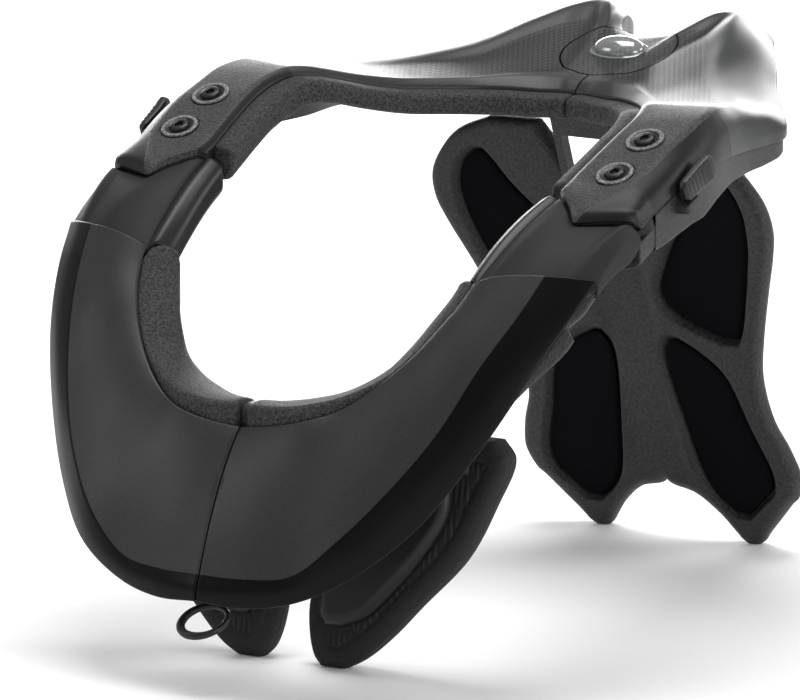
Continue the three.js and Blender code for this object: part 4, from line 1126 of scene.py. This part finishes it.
def plate_polygon():
    """Outline of the whole back plate, with its notch."""
    rows = outline_curve(BACK_OUTLINE, 120)
    outer = [(row[1], row[2]) for row in rows]
    inner = [(row[0], row[2]) for row in rows[::-1] if row[0] > 0.3]
    upper = [point for point in inner if point[1] > HEIGHT / 2]
    lower = [point for point in inner if point[1] < HEIGHT / 2]
    top = (0.0, upper[0][1] - 0.3)
    bottom = (0.0, lower[-1][1] + 0.3)
    right = np.array([top, *upper, *outer, *lower, bottom])
    return np.concatenate([right, right[-2:0:-1] * (-1, 1)])


def back_plate():
    """Both halves of the plate, with its rounded edge, pockets and channel."""
    x, z = field_points([(z, max(inner, 0.0), outer) for z, inner, outer in BACK_OUTLINE], 260, 88)
    x = np.maximum(x, 0.0)
    fall = edge_round(np.maximum(field_distance(x, z, plate_polygon()), 0), BACK_ROUND)
    deep = np.zeros_like(x)
    for table in (UPPER_POCKET, LOWER_POCKET):
        pocket = field_distance(x, z, outline_polygon(table))
        deep = np.maximum(deep, smoothstep(pocket, -1.3, 1.5))
    channel = BACK_CHANNEL * (1 - smoothstep(x, 9.0, 15.0))
    channel = channel * (1 - smoothstep(z, 0.60 * HEIGHT, 0.74 * HEIGHT))
    channel *= smoothstep(z, 0.10 * HEIGHT, 0.2 * HEIGHT)
    depth = back_depth(x, z)
    front = np.stack([x, depth + fall + deep * POCKET_DEPTH + channel, z], axis=2)
    rear = np.stack([x, depth + BACK_WALL - 0.9 * fall, z], axis=2)
    vertices, faces, zones = sheet_body(front, rear)
    keep = [n for n, f in enumerate(faces) if not all(abs(vertices[v][0]) < 1e-6 for v in f)]
    half = (vertices, [faces[n] for n in keep], [zones[n] for n in keep])
    return [half, mirrored(half)]


def back_insert(table):
    x, z = field_points(table, 60, 26)
    polygon = outline_polygon(table)
    middle = polygon.mean(axis=0)
    span = polygon.max(axis=0) - polygon.min(axis=0)
    shrink = 1 - 2 * INSERT_SHRINK / span
    x = middle[0] + (x - middle[0]) * shrink[0]
    z = middle[1] + (z - middle[1]) * shrink[1]
    inner = np.maximum(field_distance(x, z, polygon) - INSERT_SHRINK * 0.6, 0)
    back = back_depth(x, z) + (POCKET_DEPTH - CLEARANCE)
    front = np.stack([x, back - INSERT_WALL + 0.72 * edge_round(inner, 2.0), z], axis=2)
    return sheet_body(front, np.stack([x, back, z], axis=2))


def chest_field(table, rows, cols, front_of, rear_of, zone=None):
    x, z = field_points(table, rows, cols, crowd=0.5)
    distance = np.maximum(field_distance(x, z, outline_polygon(table)), 0)
    y = CHEST_LEAN * z
    front = np.stack([x, y + front_of(distance), z], axis=2)
    rear = np.stack([x, y + rear_of(distance), z], axis=2)
    marks = (lambda n, m: zone(distance[n, m])) if zone else None
    return sheet_body(front, rear, marks)


def welt(table, level):
    """Piping along an outline."""
    line = outline_polygon(table, 40)
    line = np.array([p for n, p in enumerate(line) if n == 0 or np.linalg.norm(p - line[n - 1]) > 0.4])
    rings = []
    for n, (x, z) in enumerate(line):
        before, after = line[n - 1], line[(n + 1) % len(line)]
        out = np.array([after[1] - before[1], 0, before[0] - after[0]])
        out /= np.linalg.norm(out)
        centre = np.array([x, CHEST_LEAN * z + level, z]) - out * 0.9
        rings.append([
            centre + out * math.cos(t) * WELT_RADIUS + np.array([0, 1, 0]) * math.sin(t) * WELT_RADIUS
            for t in full_turn(10)
        ])
    return loft(rings, closed=True)


def chest_pad():
    half = CHEST_WALL / 2

    def front_of(d):
        groove = 0.7 * np.exp(-((d - 8.0) / 0.8) ** 2)
        return -half + 0.9 * edge_round(d, CHEST_ROUND) + groove

    def rear_of(d):
        return half - 0.9 * edge_round(d, CHEST_ROUND)

    body = chest_field(CHEST_OUTLINE, 90, 46, front_of, rear_of, zone=lambda d: int(d > CHEST_BAND))
    return [body, welt(CHEST_OUTLINE, -0.6)]


def chest_cap():
    half = CHEST_WALL / 2

    def front_of(d):
        return -half - CAP_RISE + 0.95 * edge_round(d, CAP_RISE - 0.4)

    def rear_of(d):
        return np.full_like(d, -half - CLEARANCE)

    return chest_field(CAP_OUTLINE, 60, 30, front_of, rear_of)


def strap_loop():
    c, s = math.cos(LOOP_TILT), math.sin(LOOP_TILT)
    rings = []
    for turn in full_turn(96):
        thick = LOOP_WIRE / 2 * (1 + 0.22 * math.cos(turn - math.radians(215)))
        ring = []
        for t in full_turn(16):
            r = LOOP_RADIUS + thick * math.cos(t)
            x, y, z = r * math.cos(turn), r * math.sin(turn), thick * math.sin(t)
            ring.append(LOOP_CENTRE + np.array([x, y * c - z * s, y * s + z * c]))
        rings.append(ring)
    return loft(rings, closed=True)


def spine_bracket():
    """Strip from under the rear centre down to the back plate."""
    rings = []
    for z in np.linspace(0.845, 0.675, 14) * HEIGHT:
        y = back_depth(BRACKET_HALF, z) - CLEARANCE
        near = y - BRACKET_WALL
        corners = [
            (-BRACKET_HALF, near, z), (BRACKET_HALF, near, z), (BRACKET_HALF, y, z), (-BRACKET_HALF, y, z),
        ]
        rings.append(rounded_polygon(corners, [0.8] * 4))
    return loft(rings, start=0.6, end=0.8)


def bracket_window():
    """Opening between the two legs of the strip."""
    half, low, high = BRACKET_HALF - BRACKET_LEG, 0.716 * HEIGHT, 0.80 * HEIGHT
    rings = []
    for y in (150.0, 240.0):
        corners = [(-half, y, low), (half, y, low), (half, y, high), (-half, y, high)]
        rings.append(rounded_polygon(corners, [2.0] * 4))
    return loft(rings)


# Pieces of the front half
pair("front_shell", [bib_shell()], "front_half", "satin_shell", [SATIN, DARK])
half_frame, carrier = bib_frame(), chest_carrier()
front_frame = [half_frame, mirrored(half_frame), carrier, mirrored(carrier), loop_lug(), web_between_pads()]
piece("front_frame", front_frame, "front_half", "matte_frame", [FRAME])
pair("front_pad", [front_pad()], "front_half", "foam", [FOAM], pad=0.8)
pair("side_arm", [side_arm(), tongue()], "front_half", "grain_plastic", [ARM])
pair("side_pad", [sleeve()], "front_half", "rubber", [RUBBER], pad=0.8)
pair("chest_pad", chest_pad(), "front_half", "pad_cover", [CLOTH, MESH], pad=0.7)
pair("chest_cap", [chest_cap()], "front_half", "rubber", [RUBBER])
piece("strap_loop", [strap_loop()], "front_half", "matte_frame", [RUBBER])

# Pieces of the rear half
cover_looks = [COVER, FLANK, WEAVE, BORDER]
holes = [recess(0.0), recess(SCREW_SPACING), disc_cut(DISC_RADIUS + DISC_GAP)]
pair("rear_shell", [rear_shell()], "rear_half", "grain_plastic", cover_looks, holes, sharp=30)
pair("rear_frame", [rear_frame(), lever_ledge()], "rear_half", "matte_frame", [FRAME])
pair("rear_pad", [rear_pad()], "rear_half", "foam", [FOAM], pad=0.8)
pair("release_lever", [lever()], ("lever_l", "lever_r"), "rubber", [RUBBER])
for where, along in (("front", 0.0), ("rear", SCREW_SPACING)):
    pair(f"washer_{where}", [washer(along)], "rear_half", "washer_metal", [WASHER, SCREW], sharp=50)
    pair(f"screw_{where}", [screw(along)], "rear_half", "screw_metal", [SCREW], sharp=35)
disc = object_from("rear_disc_skin", [rear_disc()], [WEAVE])
carve(disc, [disc_cut(DISC_RADIUS)], "INTERSECT")
dress(disc, "rear_half", "grain_plastic", ["rear_disc"], sharp=30)
piece("emblem_dome", [emblem_dome()], "rear_half", "dome_gloss", [GLOSS])
piece("back_plate", back_plate(), "rear_half", "soft_plate", [PLATE], sharp=60)
for where, table in (("upper", UPPER_POCKET), ("lower", LOWER_POCKET)):
    pair(f"back_insert_{where}", [back_insert(table)], "rear_half", "insert_foam", [INSERT])
piece("spine_bracket", [spine_bracket()], "rear_half", "matte_frame", [FRAME], [bracket_window()])


# Floor, lights and background
FLOOR_HALF = 30.0
FLOOR_GREY = (0.92, 0.92, 0.92, 1.0)
BACKGROUND = 0.32
AIM = Vector((0, 0, 0.12))

floor_mesh = bpy.data.meshes.new("floor")
floor_mesh.from_pydata([(x * FLOOR_HALF, y * FLOOR_HALF, 0) for x, y in CORNERS], [], [(0, 1, 2, 3)])
floor = bpy.data.objects.new("floor", floor_mesh)
scene.collection.objects.link(floor)
ground = bpy.data.materials.new("floor")
ground.use_nodes = True
feed(ground.node_tree.nodes["Principled BSDF"], {
    "Base Color": FLOOR_GREY, "Roughness": 0.9, "Specular IOR Level": 0.1,
})
floor_mesh.materials.append(ground)


def softbox(name, place, size, power):
    light = bpy.data.lights.new(name, "AREA")
    light.shape = "RECTANGLE"
    light.size, light.size_y = size
    light.energy = power
    obj = bpy.data.objects.new(name, light)
    scene.collection.objects.link(obj)
    obj.location = place
    obj.rotation_euler = (AIM - Vector(place)).to_track_quat("-Z", "Y").to_euler()


softbox("rear_box", (-1.3, 1.95, 0.62), (2.4, 0.7), 62)
softbox("side_box", (1.6, 1.3, 0.9), (1.0, 0.9), 15)
softbox("top_box", (-0.2, 0.3, 2.2), (1.2, 1.2), 30)
softbox("front_box", (-1.7, -1.5, 1.3), (0.9, 0.9), 10)
softbox("low_box", (1.5, -0.5, 0.5), (0.7, 0.7), 9)
world = bpy.data.worlds.new("studio")
scene.world = world
world.use_nodes = True
feed(world.node_tree.nodes["Background"], {"Color": (1, 1, 1, 1), "Strength": BACKGROUND})
scene.view_settings.view_transform = "Standard"
